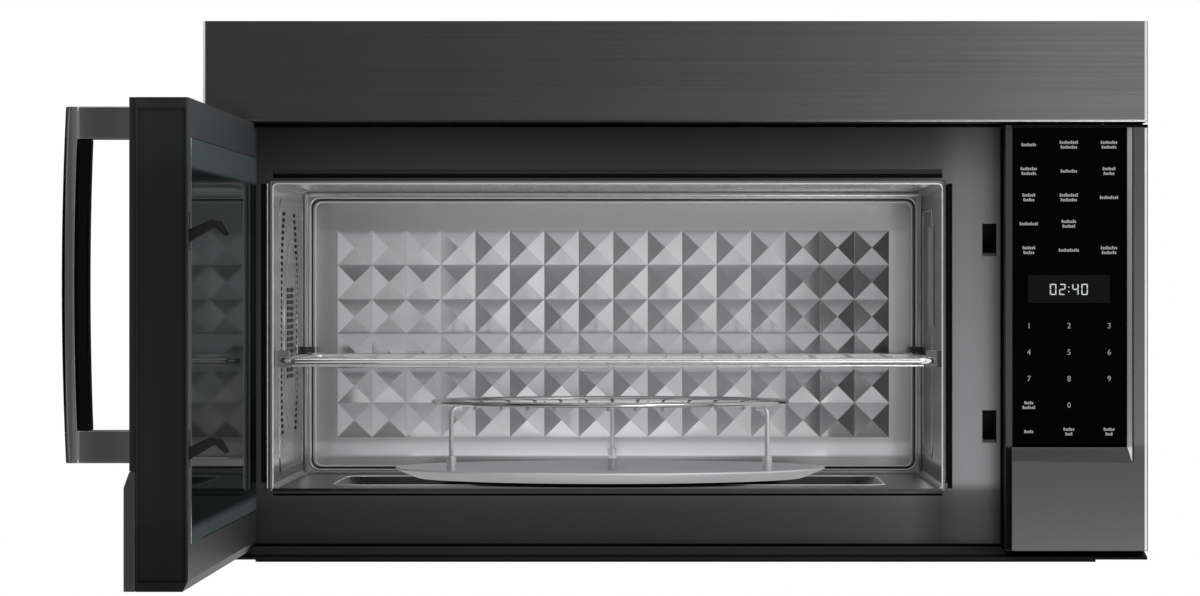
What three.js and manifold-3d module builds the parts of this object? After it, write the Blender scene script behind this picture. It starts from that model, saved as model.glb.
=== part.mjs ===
// An over-the-range microwave oven with its door swung open, as an assembly of separate pieces.
//
// Millimetres, +Z up. The origin is the middle of the rear face, where the unit meets the wall.
// X runs to the right as the cook sees it and -Y points out from the wall into the kitchen.

import * as THREE from 'three';
import { mergeVertices } from 'three/addons/utils/BufferGeometryUtils.js';
import Module from 'manifold-3d';

const wasm = await Module();
wasm.setup();

// ---- Driving dimensions -------------------------------------------------------------------

const FIT = 0.3; // gap between two pieces that seat on each other
const RUN = 0.6; // gap round a piece that slides or turns

// Oven cavity and the spaces round it; together they give the size of the whole unit
const CAVITY_WIDTH = 543.6;
const CAVITY_HEIGHT = 247.4;
const CAVITY_DEPTH = 380;
const LEFT_SPACE = 52.5; // convection fan
const RIGHT_SPACE = 162.9; // microwave generator
const TOP_SPACE = 129.7; // vent blower
const BASE_SPACE = 55.9; // turntable drive and grease filters
const REAR_SPACE = 31.5;
const LINER_WALL = 2;
const LINER_PROUD = 0.5; // the liner's edge stands in front of the front plate
const OPENING_CORNER = 0.5;

// Case
const CASE_SHEET = 1;
const BACK_SHEET = 1;
const WALL_PLATE = 1.5;
const WALL_PLATE_WIDTH = 700;
const WALL_PLATE_HEIGHT = 370;
const FASCIA_HEIGHT = 81.2;
const FASCIA_SHEET = 1.2;
const FRONT_PLATE = 2;
const PLATE_SIDE_INSET = 1.5;
const PLATE_TOP_GAP = 2.7;
const PLATE_SILL = 11;
const PAN_SHEET = 1.2;
const PAN_DROP = 4.5; // the middle of the pan hangs below its edge
const PAN_MARGIN = 37.5;

// Door
const DOOR_GAP = 1.5; // door to front plate
const DOOR_THICKNESS = 41;
const DOOR_TOP_GAP = 0.9;
const DOOR_SILL = 7.1;
const CONTROL_WIDTH = 114;
const PANEL_GAP = 2; // door to control panel
const PANEL_PROUD = 4; // steel stands in front of the glass
const GLASS = 4;
const GLASS_BOTTOM = 83.6; // height of the steel band under the glass
const STEEL_CHAMFER = 11;
const HINGE_INSET = 17;
const HINGE_PIN = 3.5; // radius
const DOOR_OPEN = 90; // degrees, the pose of the model

// Racks and turntable
const RACK_HEIGHT = 103.3; // rail centre above the cavity floor
const RACK_ROD = 2.4; // radius
const RACK_WIRE = 1.2;
const RACK_SIDE_GAP = 5.4;
const RACK_WIRES = 16;
const TURNTABLE_RADIUS = 181.5;
const ROUND_RACK_RADIUS = 149;
const ROUND_RACK_HEIGHT = 61.9;
const ROLLER_TRACK = 100;
const ROLLER_RADIUS = 5;

// ---- Places worked out from them ----------------------------------------------------------

const UNIT_WIDTH = LEFT_SPACE + CAVITY_WIDTH + RIGHT_SPACE;
const UNIT_HEIGHT = BASE_SPACE + CAVITY_HEIGHT + TOP_SPACE;
const left = -UNIT_WIDTH / 2;
const right = UNIT_WIDTH / 2;
const bottom = -UNIT_HEIGHT / 2;
const top = UNIT_HEIGHT / 2;

const cavity = {
  left: left + LEFT_SPACE,
  right: right - RIGHT_SPACE,
  bottom: bottom + BASE_SPACE,
  top: top - TOP_SPACE,
  back: -REAR_SPACE,
  front: -REAR_SPACE - CAVITY_DEPTH,
};
const cavityX = (cavity.left + cavity.right) / 2;
const cavityY = (cavity.front + cavity.back) / 2;
const cavityZ = (cavity.bottom + cavity.top) / 2;

const plateFace = cavity.front; // front face of the front plate
const caseFront = plateFace + FRONT_PLATE + FIT;
const doorInside = plateFace - DOOR_GAP;
const glassFace = doorInside - DOOR_THICKNESS;
const front = glassFace - PANEL_PROUD;
const fasciaBottom = top - FASCIA_HEIGHT;
const doorTop = fasciaBottom - DOOR_TOP_GAP;
const doorBottom = bottom + DOOR_SILL;
const glassBottom = doorBottom + GLASS_BOTTOM;
const doorWidth = UNIT_WIDTH - CONTROL_WIDTH - PANEL_GAP;
const panelLeft = left + doorWidth + PANEL_GAP;
const backPanelFace = -WALL_PLATE - FIT;
const backPanelInside = backPanelFace - BACK_SHEET;

// ---- Materials ----------------------------------------------------------------------------

function finish(color, roughness, metalness) {
  return new THREE.MeshStandardMaterial({ color, roughness, metalness });
}

const blackSteel = finish(0x56575a, 0.38, 0.9); // brushed black stainless steel
const frontSteel = finish(0x3a3a3c, 0.42, 0.8); // darker sheet round the oven mouth
const linerSteel = finish(0x9b9b9f, 0.3, 1); // stainless steel of the cavity
const satinSteel = finish(0xa6a6a9, 0.45, 0.9);
const chrome = finish(0xcfd0d2, 0.12, 1);
const zincSheet = finish(0x9ea2a4, 0.5, 0.8);
const castAluminium = finish(0xb4b6b8, 0.5, 0.9);
const copper = finish(0xa8643a, 0.4, 0.9);
const blackPlastic = finish(0x1c1d1f, 0.55, 0);
const whitePlastic = finish(0xe4e4e0, 0.5, 0);
const blackGlass = finish(0x050506, 0.06, 0);
const clearGlass = finish(0x46504f, 0.05, 0);
const greyPlastic = finish(0x8c8c8a, 0.5, 0);
const paintedFrame = finish(0x3f4143, 0.4, 0.3);
const mica = finish(0xc9bfa6, 0.7, 0);
const circuitGreen = finish(0x2f5d3c, 0.6, 0);

// ---- Shapes -------------------------------------------------------------------------------

/** A box between two corners. */
function box(x0, x1, y0, y1, z0, z1) {
  const geometry = new THREE.BoxGeometry(x1 - x0, y1 - y0, z1 - z0);
  return solid(geometry.translate((x0 + x1) / 2, (y0 + y1) / 2, (z0 + z1) / 2));
}

/** The turn that lays an extrusion along an axis: outlines are (y, z), (x, z) or (x, y). */
const ALONG = {
  x: new THREE.Matrix4().set(0, 0, 1, 0, 1, 0, 0, 0, 0, 1, 0, 0, 0, 0, 0, 1),
  y: new THREE.Matrix4().set(1, 0, 0, 0, 0, 0, -1, 0, 0, 1, 0, 0, 0, 0, 0, 1),
  z: new THREE.Matrix4(),
};

/** An outline, with any holes, extruded along an axis between two places. */
function prism(outline, axis, from, to, holes = [], bevel = {}) {
  const shape = new THREE.Shape(outline.map(([u, v]) => new THREE.Vector2(u, v)));
  shape.holes = holes.map((hole) => new THREE.Path(hole.map(([u, v]) => new THREE.Vector2(u, v))));
  const options = { depth: to - from, bevelEnabled: false, ...bevel };
  const geometry = new THREE.ExtrudeGeometry(shape, options).applyMatrix4(ALONG[axis]);
  const shift = { x: [from, 0, 0], y: [0, to, 0], z: [0, 0, from] }[axis];
  return solid(geometry.translate(...shift));
}

/** The corners of a regular polygon standing for a circle. */
function circle(radius, u = 0, v = 0, sides = 24) {
  return Array.from({ length: sides }, (_, i) => {
    const angle = ((i + 0.5) * 2 * Math.PI) / sides;
    return [u + radius * Math.cos(angle), v + radius * Math.sin(angle)];
  });
}

/** A rectangle with round corners, as an outline. */
function roundedRectangle(u0, u1, v0, v1, radius, steps = 4) {
  const corners = [
    [u1 - radius, v0 + radius, -90],
    [u1 - radius, v1 - radius, 0],
    [u0 + radius, v1 - radius, 90],
    [u0 + radius, v0 + radius, 180],
  ];
  return corners.flatMap(([u, v, start]) =>
    Array.from({ length: steps + 1 }, (_, i) => {
      const angle = THREE.MathUtils.degToRad(start + (90 * i) / steps);
      return [u + radius * Math.cos(angle), v + radius * Math.sin(angle)];
    }),
  );
}

/** A round bar along an axis. */
function bar(radius, axis, from, to, u, v, sides = 24) {
  return prism(circle(radius, u, v, sides), axis, from, to);
}

/** A round rod of a few sides that follows a curve. */
function rod(curve, radius, steps, sides = 8) {
  const section = new THREE.Shape(circle(radius, 0, 0, sides).map(([u, v]) => new THREE.Vector2(u, v)));
  return solid(new THREE.ExtrudeGeometry(section, { extrudePath: curve, steps }));
}

/** A profile of [radius, z] points, from axis to axis or closed on itself, turned about Z. */
function turned(profile, segments = 48) {
  const points = profile.map(([r, z]) => new THREE.Vector2(r, z));
  const closed = profile[0][0] > 0 ? [...points, points[0].clone()] : points;
  return solid(new THREE.LatheGeometry(closed, segments).rotateX(Math.PI / 2));
}

/** A solid through a stack of outlines in x and y, each at its own height. */
function loft(sections) {
  const sides = sections[0].outline.length;
  const position = sections.flatMap(({ outline, z }) => outline.flatMap(([x, y]) => [x, y, z]));
  const index = [];
  for (let s = 0; s + 1 < sections.length; s += 1) {
    for (let i = 0; i < sides; i += 1) {
      const a = s * sides + i;
      const b = s * sides + ((i + 1) % sides);
      index.push(a, b, b + sides, a, b + sides, a + sides);
    }
  }
  const last = (sections.length - 1) * sides;
  for (let i = 1; i + 1 < sides; i += 1) {
    index.push(0, i + 1, i, last, last + i, last + i + 1);
  }
  const geometry = new THREE.BufferGeometry();
  geometry.setAttribute('position', new THREE.Float32BufferAttribute(position, 3));
  geometry.setIndex(index);
  return solid(geometry);
}

/** Turns a closed three.js geometry into a solid that can be joined and cut. */
function solid(geometry) {
  geometry.deleteAttribute('normal');
  geometry.deleteAttribute('uv');
  const merged = mergeVertices(geometry, 1e-4);
  const position = merged.attributes.position;
  const corner = (i) => new THREE.Vector3().fromBufferAttribute(position, i);
  const triangles = [];
  let volume = 0;
  for (let i = 0; i < merged.index.count; i += 3) {
    const [a, b, c] = [0, 1, 2].map((k) => merged.index.getX(i + k));
    if (a !== b && b !== c && c !== a) {
      triangles.push([a, b, c]);
      volume += corner(a).dot(corner(b).cross(corner(c)));
    }
  }
  const facing = volume > 0 ? triangles : triangles.map(([a, b, c]) => [a, c, b]);
  return new wasm.Manifold(
    new wasm.Mesh({
      numProp: 3,
      vertProperties: Float32Array.from(position.array),
      triVerts: Uint32Array.from(facing.flat()),
    }),
  );
}

function join(...solids) {
  return solids.flat().reduce((whole, piece) => whole.add(piece));
}

function cut(whole, ...cutters) {
  return whole.subtract(join(...cutters));
}

/** A named sub-part in its group. */
function piece(group, name, shape, material) {
  const { vertProperties, triVerts } = shape.getMesh();
  const geometry = new THREE.BufferGeometry();
  geometry.setAttribute('position', new THREE.BufferAttribute(vertProperties, 3));
  geometry.setIndex(new THREE.BufferAttribute(triVerts, 1));
  geometry.computeVertexNormals();
  const mesh = new THREE.Mesh(geometry, material);
  mesh.name = name;
  group.add(mesh);
  return mesh;
}

const microwave = new THREE.Group();

// ---- Case ---------------------------------------------------------------------------------

const TAB = { x0: 220, x1: 262, ledge: bottom + 66.5, reach: 8, lip: 11 };

/** The steel plate that is screwed to the wall, with two hooks that carry the unit. */
function wallPlate() {
  const [halfWidth, halfHeight] = [WALL_PLATE_WIDTH / 2, WALL_PLATE_HEIGHT / 2];
  const sheet = box(-halfWidth, halfWidth, -WALL_PLATE, 0, -halfHeight, halfHeight);
  const slots = [];
  for (const z of [-halfHeight + 22, halfHeight - 22]) {
    for (let x = -halfWidth + 50; x < halfWidth - 40; x += 100) {
      slots.push(prism(roundedRectangle(x - 18, x + 18, z - 4, z + 4, 3.9), 'y', -WALL_PLATE - 1, 1));
    }
  }
  for (const x of [-240, -130, 130, 240]) {
    slots.push(prism(circle(32, x, 40), 'y', -WALL_PLATE - 1, 1));
  }
  const hooks = [-1, 1].flatMap((side) => {
    const [x0, x1] = [side * TAB.x0, side * TAB.x1].sort((a, b) => a - b);
    const ledge = box(x0, x1, -TAB.reach, -WALL_PLATE / 2, TAB.ledge, TAB.ledge + WALL_PLATE);
    const lip = box(x0, x1, -TAB.reach, -TAB.reach + WALL_PLATE, TAB.ledge, TAB.ledge + TAB.lip);
    return [ledge, lip];
  });
  return join(cut(sheet, ...slots), ...hooks);
}

/** The rear sheet of the case; the top edge of each slot rests on a hook of the wall plate. */
function backPanel() {
  const inset = CASE_SHEET + FIT;
  const sheet = box(left + inset, right - inset, backPanelInside, backPanelFace, bottom + 4, top - inset);
  const slots = [-1, 1].map((side) => {
    const [x0, x1] = [side * (TAB.x0 - 3), side * (TAB.x1 + 3)].sort((a, b) => a - b);
    const edge = TAB.ledge + WALL_PLATE + FIT;
    return box(x0, x1, backPanelInside - 1, backPanelFace + 1, edge - TAB.lip - 3, edge);
  });
  return cut(sheet, ...slots);
}

/** The pan under the unit: a flat edge with a shallow tray, open for filters and cooktop lamps. */
function basePan(openings) {
  const inset = CASE_SHEET + FIT;
  const [x0, x1] = [left + inset, right - inset];
  const [y0, y1] = [caseFront + FIT, backPanelInside - FIT];
  const [t0, t1] = [left + PAN_MARGIN, right - PAN_MARGIN];
  const [f0, f1] = [y0 + 12, y1 - 12];
  const edge = box(x0, x1, y0, y1, bottom, bottom + PAN_SHEET);
  const tray = box(t0, t1, f0, f1, bottom - PAN_DROP, bottom + PAN_SHEET);
  const hollow = box(
    t0 + PAN_SHEET,
    t1 - PAN_SHEET,
    f0 + PAN_SHEET,
    f1 - PAN_SHEET,
    bottom - PAN_DROP + PAN_SHEET,
    bottom + PAN_SHEET + 1,
  );
  const holes = openings.map(([a, b, c, d]) => box(a, b, c, d, bottom - PAN_DROP - 1, bottom + 3));
  return cut(join(edge, tray), hollow, ...holes);
}

const trayFloor = bottom - PAN_DROP + PAN_SHEET; // top of the tray's sheet

const FILTER_WIDTH = 300;
const FILTER_LENGTH = 130;
const FILTER_HEIGHT = 10;
const FILTER_X = FILTER_WIDTH / 2 + 22;
const FILTER_Y = -53 - FILTER_LENGTH / 2;
const FILTER_RIM = 7;

/** A washable aluminium mesh filter: a frame round a thinner mesh, with a finger pull. */
function greaseFilter(x, y) {
  const [w, l] = [FILTER_WIDTH / 2 - FIT, FILTER_LENGTH / 2 - FIT];
  const low = bottom - PAN_DROP + FIT;
  const frame = box(x - w, x + w, y - l, y + l, low, low + FILTER_HEIGHT);
  const recess = box(
    x - w + FILTER_RIM,
    x + w - FILTER_RIM,
    y - l + FILTER_RIM,
    y + l - FILTER_RIM,
    low - 1,
    low + 2,
  );
  const upper = recess.translate([0, 0, FILTER_HEIGHT - 1.5]);
  const pull = box(x - 14, x + 14, y - l + FILTER_RIM - 1, y - l + FILTER_RIM + 9, low + 0.6, low + 3);
  return join(cut(frame, recess, upper), pull);
}

const LAMP_WIDTH = 92;
const LAMP_LENGTH = 58;
const LAMP_X = right - 191.5; // beside the transformer
const LAMP_Y = front + 77 + LAMP_LENGTH / 2;

/** A cooktop lamp: a frosted lens with its lamp box above it. */
function taskLamp(x, y) {
  const [w, l] = [LAMP_WIDTH / 2 - FIT, LAMP_LENGTH / 2 - FIT];
  const low = bottom - PAN_DROP + FIT;
  return join(
    prism(roundedRectangle(x - w, x + w, y - l, y + l, 6), 'z', low, low + 3),
    box(x - w + 6, x + w - 6, y - l + 6, y + l - 6, low + 2.5, low + 14),
  );
}

const GRILLE = { half: 290, front: 10, depth: 26, thick: 4, columns: 12, rows: 3 };

/** The steel box across the top of the front, open at the back and slotted on top for the grille. */
function topFascia() {
  const shell = box(left, right, front, caseFront - FIT, fasciaBottom, top);
  const hollow = box(
    left + FASCIA_SHEET,
    right - FASCIA_SHEET,
    front + FASCIA_SHEET,
    caseFront,
    fasciaBottom + FASCIA_SHEET,
    top - FASCIA_SHEET,
  );
  const y0 = front + GRILLE.front;
  const slot = box(-GRILLE.half, GRILLE.half, y0, y0 + GRILLE.depth, top - 5, top + 1);
  return cut(shell, hollow, slot);
}

/** The louvred outlet of the vent blower, let into the top of the fascia. */
function exhaustGrille() {
  const half = GRILLE.half - FIT;
  const y0 = front + GRILLE.front + FIT;
  const y1 = y0 + GRILLE.depth - 2 * FIT;
  const plate = box(-half, half, y0, y1, top - GRILLE.thick, top - FIT);
  const pitch = { x: (2 * half - 8) / GRILLE.columns, y: (y1 - y0 - 3) / GRILLE.rows };
  const slots = [];
  for (let i = 0; i < GRILLE.columns; i += 1) {
    for (let k = 0; k < GRILLE.rows; k += 1) {
      const x = -half + 4 + pitch.x * (i + 0.5);
      const y = y0 + 1.5 + pitch.y * (k + 0.5);
      slots.push(box(x - pitch.x / 2 + 3, x + pitch.x / 2 - 3, y - 2.3, y + 2.3, top - 6, top + 1));
    }
  }
  return cut(plate, ...slots);
}

const bracketSpan = { x0: -8.5, x1: 8.5 }; // hinge bracket, either side of the pin
const hingeX = left + HINGE_INSET;
const hingeY = glassFace + HINGE_INSET;
const BRACKET = 2; // sheet of the hinge brackets
const BRACKET_FLANGE = 30;
const upperBracketZ = doorTop - 3.6;
const lowerBracketZ = doorBottom - 0.5 - BRACKET;

/** The dark sill under the door; it slopes down to the front and is cut away at the hinge. */
function baseTrim() {
  const lip = glassFace + 2;
  const back = caseFront - FIT;
  const outline = [
    [back, bottom],
    [lip, bottom],
    [lip, bottom + 2.3],
    [doorInside - 4.5, doorBottom - 0.9],
    [plateFace - 0.7, bottom + 8.7],
    [back, bottom + 8.7],
  ];
  const strip = prism(outline, 'x', left, right);
  const underPanel = box(panelLeft - 1, right + 1, lip - 1, back + 1, doorBottom - FIT, doorBottom + 9);
  const hinge = box(
    hingeX + bracketSpan.x0 - 1,
    hingeX + bracketSpan.x1 + 1,
    lip - 1,
    back + 1,
    lowerBracketZ - 2.5,
    doorBottom + 9,
  );
  return cut(strip, underPanel, hinge);
}

// ---- Latch --------------------------------------------------------------------------------

const LATCH_INSET = 8.75; // hooks from the door's free edge
const LATCH_PITCH = 151.4; // between the two hooks
const HOOK_WIDTH = 6.5;
const SLOT_WIDTH = 11.3;
const SLOT_BOTTOM = cavityZ + 64.9; // of the upper slot
const SLOT_HEIGHT = 26.2;
const latchX = left + doorWidth - LATCH_INSET;
const slotOffsets = [0, -LATCH_PITCH];

// ---- Front plate and cavity ---------------------------------------------------------------

/** The sheet that frames the oven mouth, with grooves round the mouth and two latch slots. */
function frontPlate() {
  const [x0, x1] = [left + PLATE_SIDE_INSET, right - PLATE_SIDE_INSET];
  const [z0, z1] = [bottom + PLATE_SILL, fasciaBottom - PLATE_TOP_GAP];
  const plate = box(x0, x1, plateFace, plateFace + FRONT_PLATE, z0, z1);
  const reach = LINER_WALL + FIT;
  const mouth = prism(
    roundedRectangle(
      cavity.left - reach,
      cavity.right + reach,
      cavity.bottom - reach,
      cavity.top + reach,
      OPENING_CORNER,
    ),
    'y',
    plateFace - 1,
    plateFace + FRONT_PLATE + 1,
  );
  const slots = slotOffsets.map((offset) =>
    box(
      latchX - SLOT_WIDTH / 2,
      latchX + SLOT_WIDTH / 2,
      plateFace - 1,
      plateFace + FRONT_PLATE + 1,
      SLOT_BOTTOM + offset,
      SLOT_BOTTOM + offset + SLOT_HEIGHT,
    ),
  );
  const [g0, g1] = [plateFace - 1, plateFace + FRONT_PLATE * 0.6];
  const grooves = [
    box(cavity.left - 8.6, cavity.left - 5.3, g0, g1, cavity.bottom, cavity.top),
    box(cavity.right + 4, cavity.right + 8, g0, g1, cavity.bottom, cavity.top),
    box(cavity.left, cavity.right, g0, g1, cavity.top + 4.5, cavity.top + 8),
    box(cavity.left, cavity.right, g0, g1, cavity.bottom - 6, cavity.bottom - 4),
  ];
  const hingeNotch = box(
    hingeX + bracketSpan.x0 - 1.5,
    hingeX + bracketSpan.x1 + 1.5,
    plateFace - 1,
    plateFace + FRONT_PLATE + 1,
    upperBracketZ - 0.5,
    z1 + 1,
  );
  return cut(plate, mouth, ...slots, ...grooves, hingeNotch);
}

const linerFront = plateFace - LINER_PROUD;
const linerBack = cavity.back + LINER_WALL;
const fanY = cavityY + 12;
const fanZ = cavityZ;

const INLET = { y: cavityY + 16.5, z: cavityZ + 37.4, rise: 72.8, rows: 15 };

/** The left wall, pierced for the hot-air fan: two columns of inlets and four outlet arcs. */
function cavityLeftWall() {
  const [x0, x1] = [cavity.left - LINER_WALL, cavity.left];
  const wall = box(x0, x1, linerFront, linerBack, cavity.bottom - LINER_WALL, cavity.top + LINER_WALL);
  const holes = [];
  for (const y of [INLET.y - 41, INLET.y + 2]) {
    for (let row = 0; row < INLET.rows; row += 1) {
      const z = INLET.z - (row * INLET.rise) / (INLET.rows - 1);
      holes.push(box(x0 - 1, x1 + 1, y, y + 39, z - 1.7, z + 1.7));
    }
  }
  const outletRadius = 118;
  for (const middle of [45, 135, 225, 315]) {
    for (let step = -3; step <= 3; step += 1) {
      for (const radius of [outletRadius - 9, outletRadius]) {
        const angle = THREE.MathUtils.degToRad(middle + step * 4.6);
        const y = cavityY + 1.16 * radius * Math.cos(angle);
        const z = fanZ + radius * Math.sin(angle);
        holes.push(box(x0 - 1, x1 + 1, y - 1.8, y + 1.8, z - 2.2, z + 2.2));
      }
    }
  }
  return cut(wall, ...holes);
}

// Where the waveguide opens into the cavity
const FEED = { y0: cavityY - 40.5, y1: cavityY + 35.5, z0: cavityZ + 14.9, z1: cavityZ + 82.9 };

/** The right wall, with the opening where the microwaves come in. */
function cavityRightWall() {
  const [x0, x1] = [cavity.right, cavity.right + LINER_WALL];
  const wall = box(x0, x1, linerFront, linerBack, cavity.bottom - LINER_WALL, cavity.top + LINER_WALL);
  return cut(wall, box(x0 - 1, x1 + 1, FEED.y0, FEED.y1, FEED.z0, FEED.z1));
}

function cavityRoof() {
  const [x0, x1] = [cavity.left + FIT, cavity.right - FIT];
  return box(x0, x1, linerFront, linerBack, cavity.top, cavity.top + LINER_WALL);
}

const RECESS_DEPTH = 8.2;
const RECESS_SLOPE = 7;
const RECESS = { halfWidth: 228.4, halfLength: 116, corner: 20 };
const floorTop = cavity.bottom;
const recessTop = floorTop - RECESS_DEPTH;
const SHAFT_HOLE = 8;

/** The outline of the recess for the roller ring, drawn in by a margin. */
function recessOutline(margin) {
  const [w, l] = [RECESS.halfWidth - margin, RECESS.halfLength - margin];
  return roundedRectangle(cavityX - w, cavityX + w, cavityY - l, cavityY + l, RECESS.corner, 5);
}

/** The floor, pressed down in the middle for the roller ring, with a hole for the drive shaft. */
function cavityFloor() {
  const [x0, x1] = [cavity.left + FIT, cavity.right - FIT];
  const sheet = box(x0, x1, linerFront, linerBack, floorTop - LINER_WALL, floorTop);
  const pressing = loft([
    { outline: recessOutline(RECESS_SLOPE - LINER_WALL), z: recessTop - LINER_WALL },
    { outline: recessOutline(-LINER_WALL), z: floorTop - LINER_WALL / 2 },
  ]);
  const hollow = loft([
    { outline: recessOutline(RECESS_SLOPE), z: recessTop },
    { outline: recessOutline(0), z: floorTop },
    { outline: recessOutline(-0.5), z: floorTop + 1 },
  ]);
  const hole = bar(SHAFT_HOLE, 'z', recessTop - 5, recessTop + 5, cavityX, cavityY);
  return cut(join(sheet, pressing), hollow, hole);
}

const PYRAMID_PITCH = 30.2;
const PYRAMID_HEIGHT = 7;
const PYRAMIDS = { columns: 16, rows: 6, drop: 2.2 };
const BEAD = { inset: 5, wide: 4.5, proud: 2, corner: 10 };

/** The back wall: a field of pressed pyramids inside a raised bead. */
function cavityBackWall() {
  const [x0, x1] = [cavity.left + FIT, cavity.right - FIT];
  const [z0, z1] = [cavity.bottom + FIT, cavity.top - FIT];
  const sheet = box(x0, x1, cavity.back, cavity.back + LINER_WALL, z0, z1);
  const [u0, u1] = [cavity.left + BEAD.inset, cavity.right - BEAD.inset];
  const [v0, v1] = [cavity.bottom + BEAD.inset - 2, cavity.top - BEAD.inset - 2];
  const bead = prism(
    roundedRectangle(u0, u1, v0, v1, BEAD.corner),
    'y',
    cavity.back - BEAD.proud,
    cavity.back + LINER_WALL / 2,
    [
      roundedRectangle(
        u0 + BEAD.wide,
        u1 - BEAD.wide,
        v0 + BEAD.wide,
        v1 - BEAD.wide,
        BEAD.corner - BEAD.wide,
      ).reverse(),
    ],
  );
  const sunk = 0.5;
  const grow = (PYRAMID_HEIGHT + sunk) / PYRAMID_HEIGHT;
  const side = (PYRAMID_PITCH - 0.2) * grow;
  const pyramids = [];
  for (let i = 0; i < PYRAMIDS.columns; i += 1) {
    for (let k = 0; k < PYRAMIDS.rows; k += 1) {
      const cone = new THREE.ConeGeometry(side / Math.SQRT2, PYRAMID_HEIGHT + sunk, 4, 1);
      cone.rotateY(Math.PI / 4).rotateX(Math.PI);
      const x = cavityX + (i - (PYRAMIDS.columns - 1) / 2) * PYRAMID_PITCH;
      const z = cavityZ - PYRAMIDS.drop + (k - (PYRAMIDS.rows - 1) / 2) * PYRAMID_PITCH;
      cone.translate(x, cavity.back + sunk - (PYRAMID_HEIGHT + sunk) / 2, z);
      pyramids.push(solid(cone));
    }
  }
  return join(sheet, bead, ...pyramids);
}

// ---- Racks --------------------------------------------------------------------------------

const railZ = cavity.bottom + RACK_HEIGHT;
const rackLeft = cavity.left + RACK_SIDE_GAP;
const rackRight = cavity.right - RACK_SIDE_GAP;
const rackFront = cavity.front + 12;
const rackBack = cavity.back - 14;
const SUPPORT = { reach: 11.5, length: 16, low: 5.2, high: 8.2, gap: 0.6 };
const supportY = { front: cavity.front + 26, rear: cavity.back - 32 };

/** A clip on the side wall: two lips with the rack's side rail between them. */
function rackSupport(side, y) {
  const wall = side < 0 ? cavity.left + FIT : cavity.right - FIT;
  const tip = wall - side * SUPPORT.reach;
  const [x0, x1] = [wall, tip].sort((a, b) => a - b);
  const [y0, y1] = [y - SUPPORT.length / 2, y + SUPPORT.length / 2];
  const block = box(x0, x1, y0, y1, railZ - SUPPORT.low, railZ + SUPPORT.high);
  const inner = RACK_SIDE_GAP - FIT - SUPPORT.gap;
  const [s0, s1] = [wall - side * inner, tip - side].sort((a, b) => a - b);
  const reach = RACK_ROD + SUPPORT.gap;
  return cut(block, box(s0, s1, y0 - 1, y1 + 1, railZ - reach, railZ + reach));
}

/** The sliding rack: a frame with close wires, on three runners and three thin cross wires. */
function wireRack() {
  const inset = 2 * RACK_ROD;
  const bevel = { bevelEnabled: true, bevelSegments: 2, bevelSize: 1.2, bevelThickness: 1.2 };
  const half = RACK_ROD - bevel.bevelThickness;
  const shrink = bevel.bevelSize;
  const frame = prism(
    roundedRectangle(rackLeft + shrink, rackRight - shrink, rackFront + shrink, rackBack - shrink, 12),
    'z',
    railZ - half,
    railZ + half,
    [
      roundedRectangle(
        rackLeft + inset - shrink,
        rackRight - inset + shrink,
        rackFront + inset - shrink,
        rackBack - inset + shrink,
        9,
      ).reverse(),
    ],
    bevel,
  );
  const pitch = (rackRight - rackLeft) / (RACK_WIRES + 1);
  const wires = Array.from({ length: RACK_WIRES }, (_, i) => {
    const x = rackLeft + pitch * (i + 1);
    return bar(RACK_WIRE, 'y', rackFront + RACK_ROD, rackBack - RACK_ROD, x, railZ + 0.5, 8);
  });
  const runnerZ = railZ - RACK_ROD - 0.4;
  const runners = [-129, 0, 129].map((x) =>
    bar(1.6, 'y', rackFront + 1.2, rackBack - 1.2, cavityX + x, runnerZ, 8),
  );
  const cross = [rackFront + 7, (rackFront + rackBack) / 2, rackBack - 7].map((y) =>
    bar(1, 'x', rackLeft + 9, rackRight - 9, y, runnerZ - 1.1, 8),
  );
  return join(frame, ...wires, ...runners, ...cross);
}

const TRAY = { wall: 2, floor: 158, dish: 7.4, flange: 3, foot: 162 };
const COUPLER = { reach: 7.25, hub: 5.6, lobe: 3, bore: 3.9, shaft: 3.5 };
const trayUnder = recessTop + FIT + 2 * ROLLER_RADIUS + FIT; // underside of the turntable
const trayTop = trayUnder + TRAY.wall;
const rimTop = trayTop + TRAY.dish;

/** The metal turntable: a flat tray with a flared rim and a socket ring round the coupler. */
function turntable() {
  const rim = TURNTABLE_RADIUS;
  const socket = COUPLER.reach + 1;
  return turned([
    [0, trayTop],
    [TRAY.floor, trayTop],
    [rim - TRAY.flange, rimTop],
    [rim, rimTop],
    [rim, rimTop - 1.5],
    [TRAY.foot, trayUnder],
    [socket + 2, trayUnder],
    [socket + 2, trayUnder - 2.5],
    [socket, trayUnder - 2.5],
    [socket, trayUnder],
    [0, trayUnder],
  ]);
}

/** The drive coupler, with three lobes that turn the tray. */
function turntableCoupler() {
  const low = recessTop + 0.6;
  const high = trayUnder - FIT;
  const hub = bar(COUPLER.hub, 'z', low, high, 0, 0);
  const lobes = [90, 210, 330].map((degrees) => {
    const angle = THREE.MathUtils.degToRad(degrees);
    const reach = COUPLER.reach - COUPLER.lobe;
    return bar(COUPLER.lobe, 'z', low, high, reach * Math.cos(angle), reach * Math.sin(angle), 16);
  });
  return cut(join(hub, ...lobes), bar(COUPLER.bore, 'z', low - 1, high - 2, 0, 0));
}

const RING = { outer: 92, inner: 86, thick: 2.6, collar: 14, collarHole: 9, spoke: 3, lug: 4 };
const ringLow = recessTop + 0.8;
const rollerZ = recessTop + FIT + ROLLER_RADIUS;
const rollerAngles = [-62, 58, 178];
const ROLLER = { half: 3.5, bore: 2.2, pin: 1.6, head: 2.8 };

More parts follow.
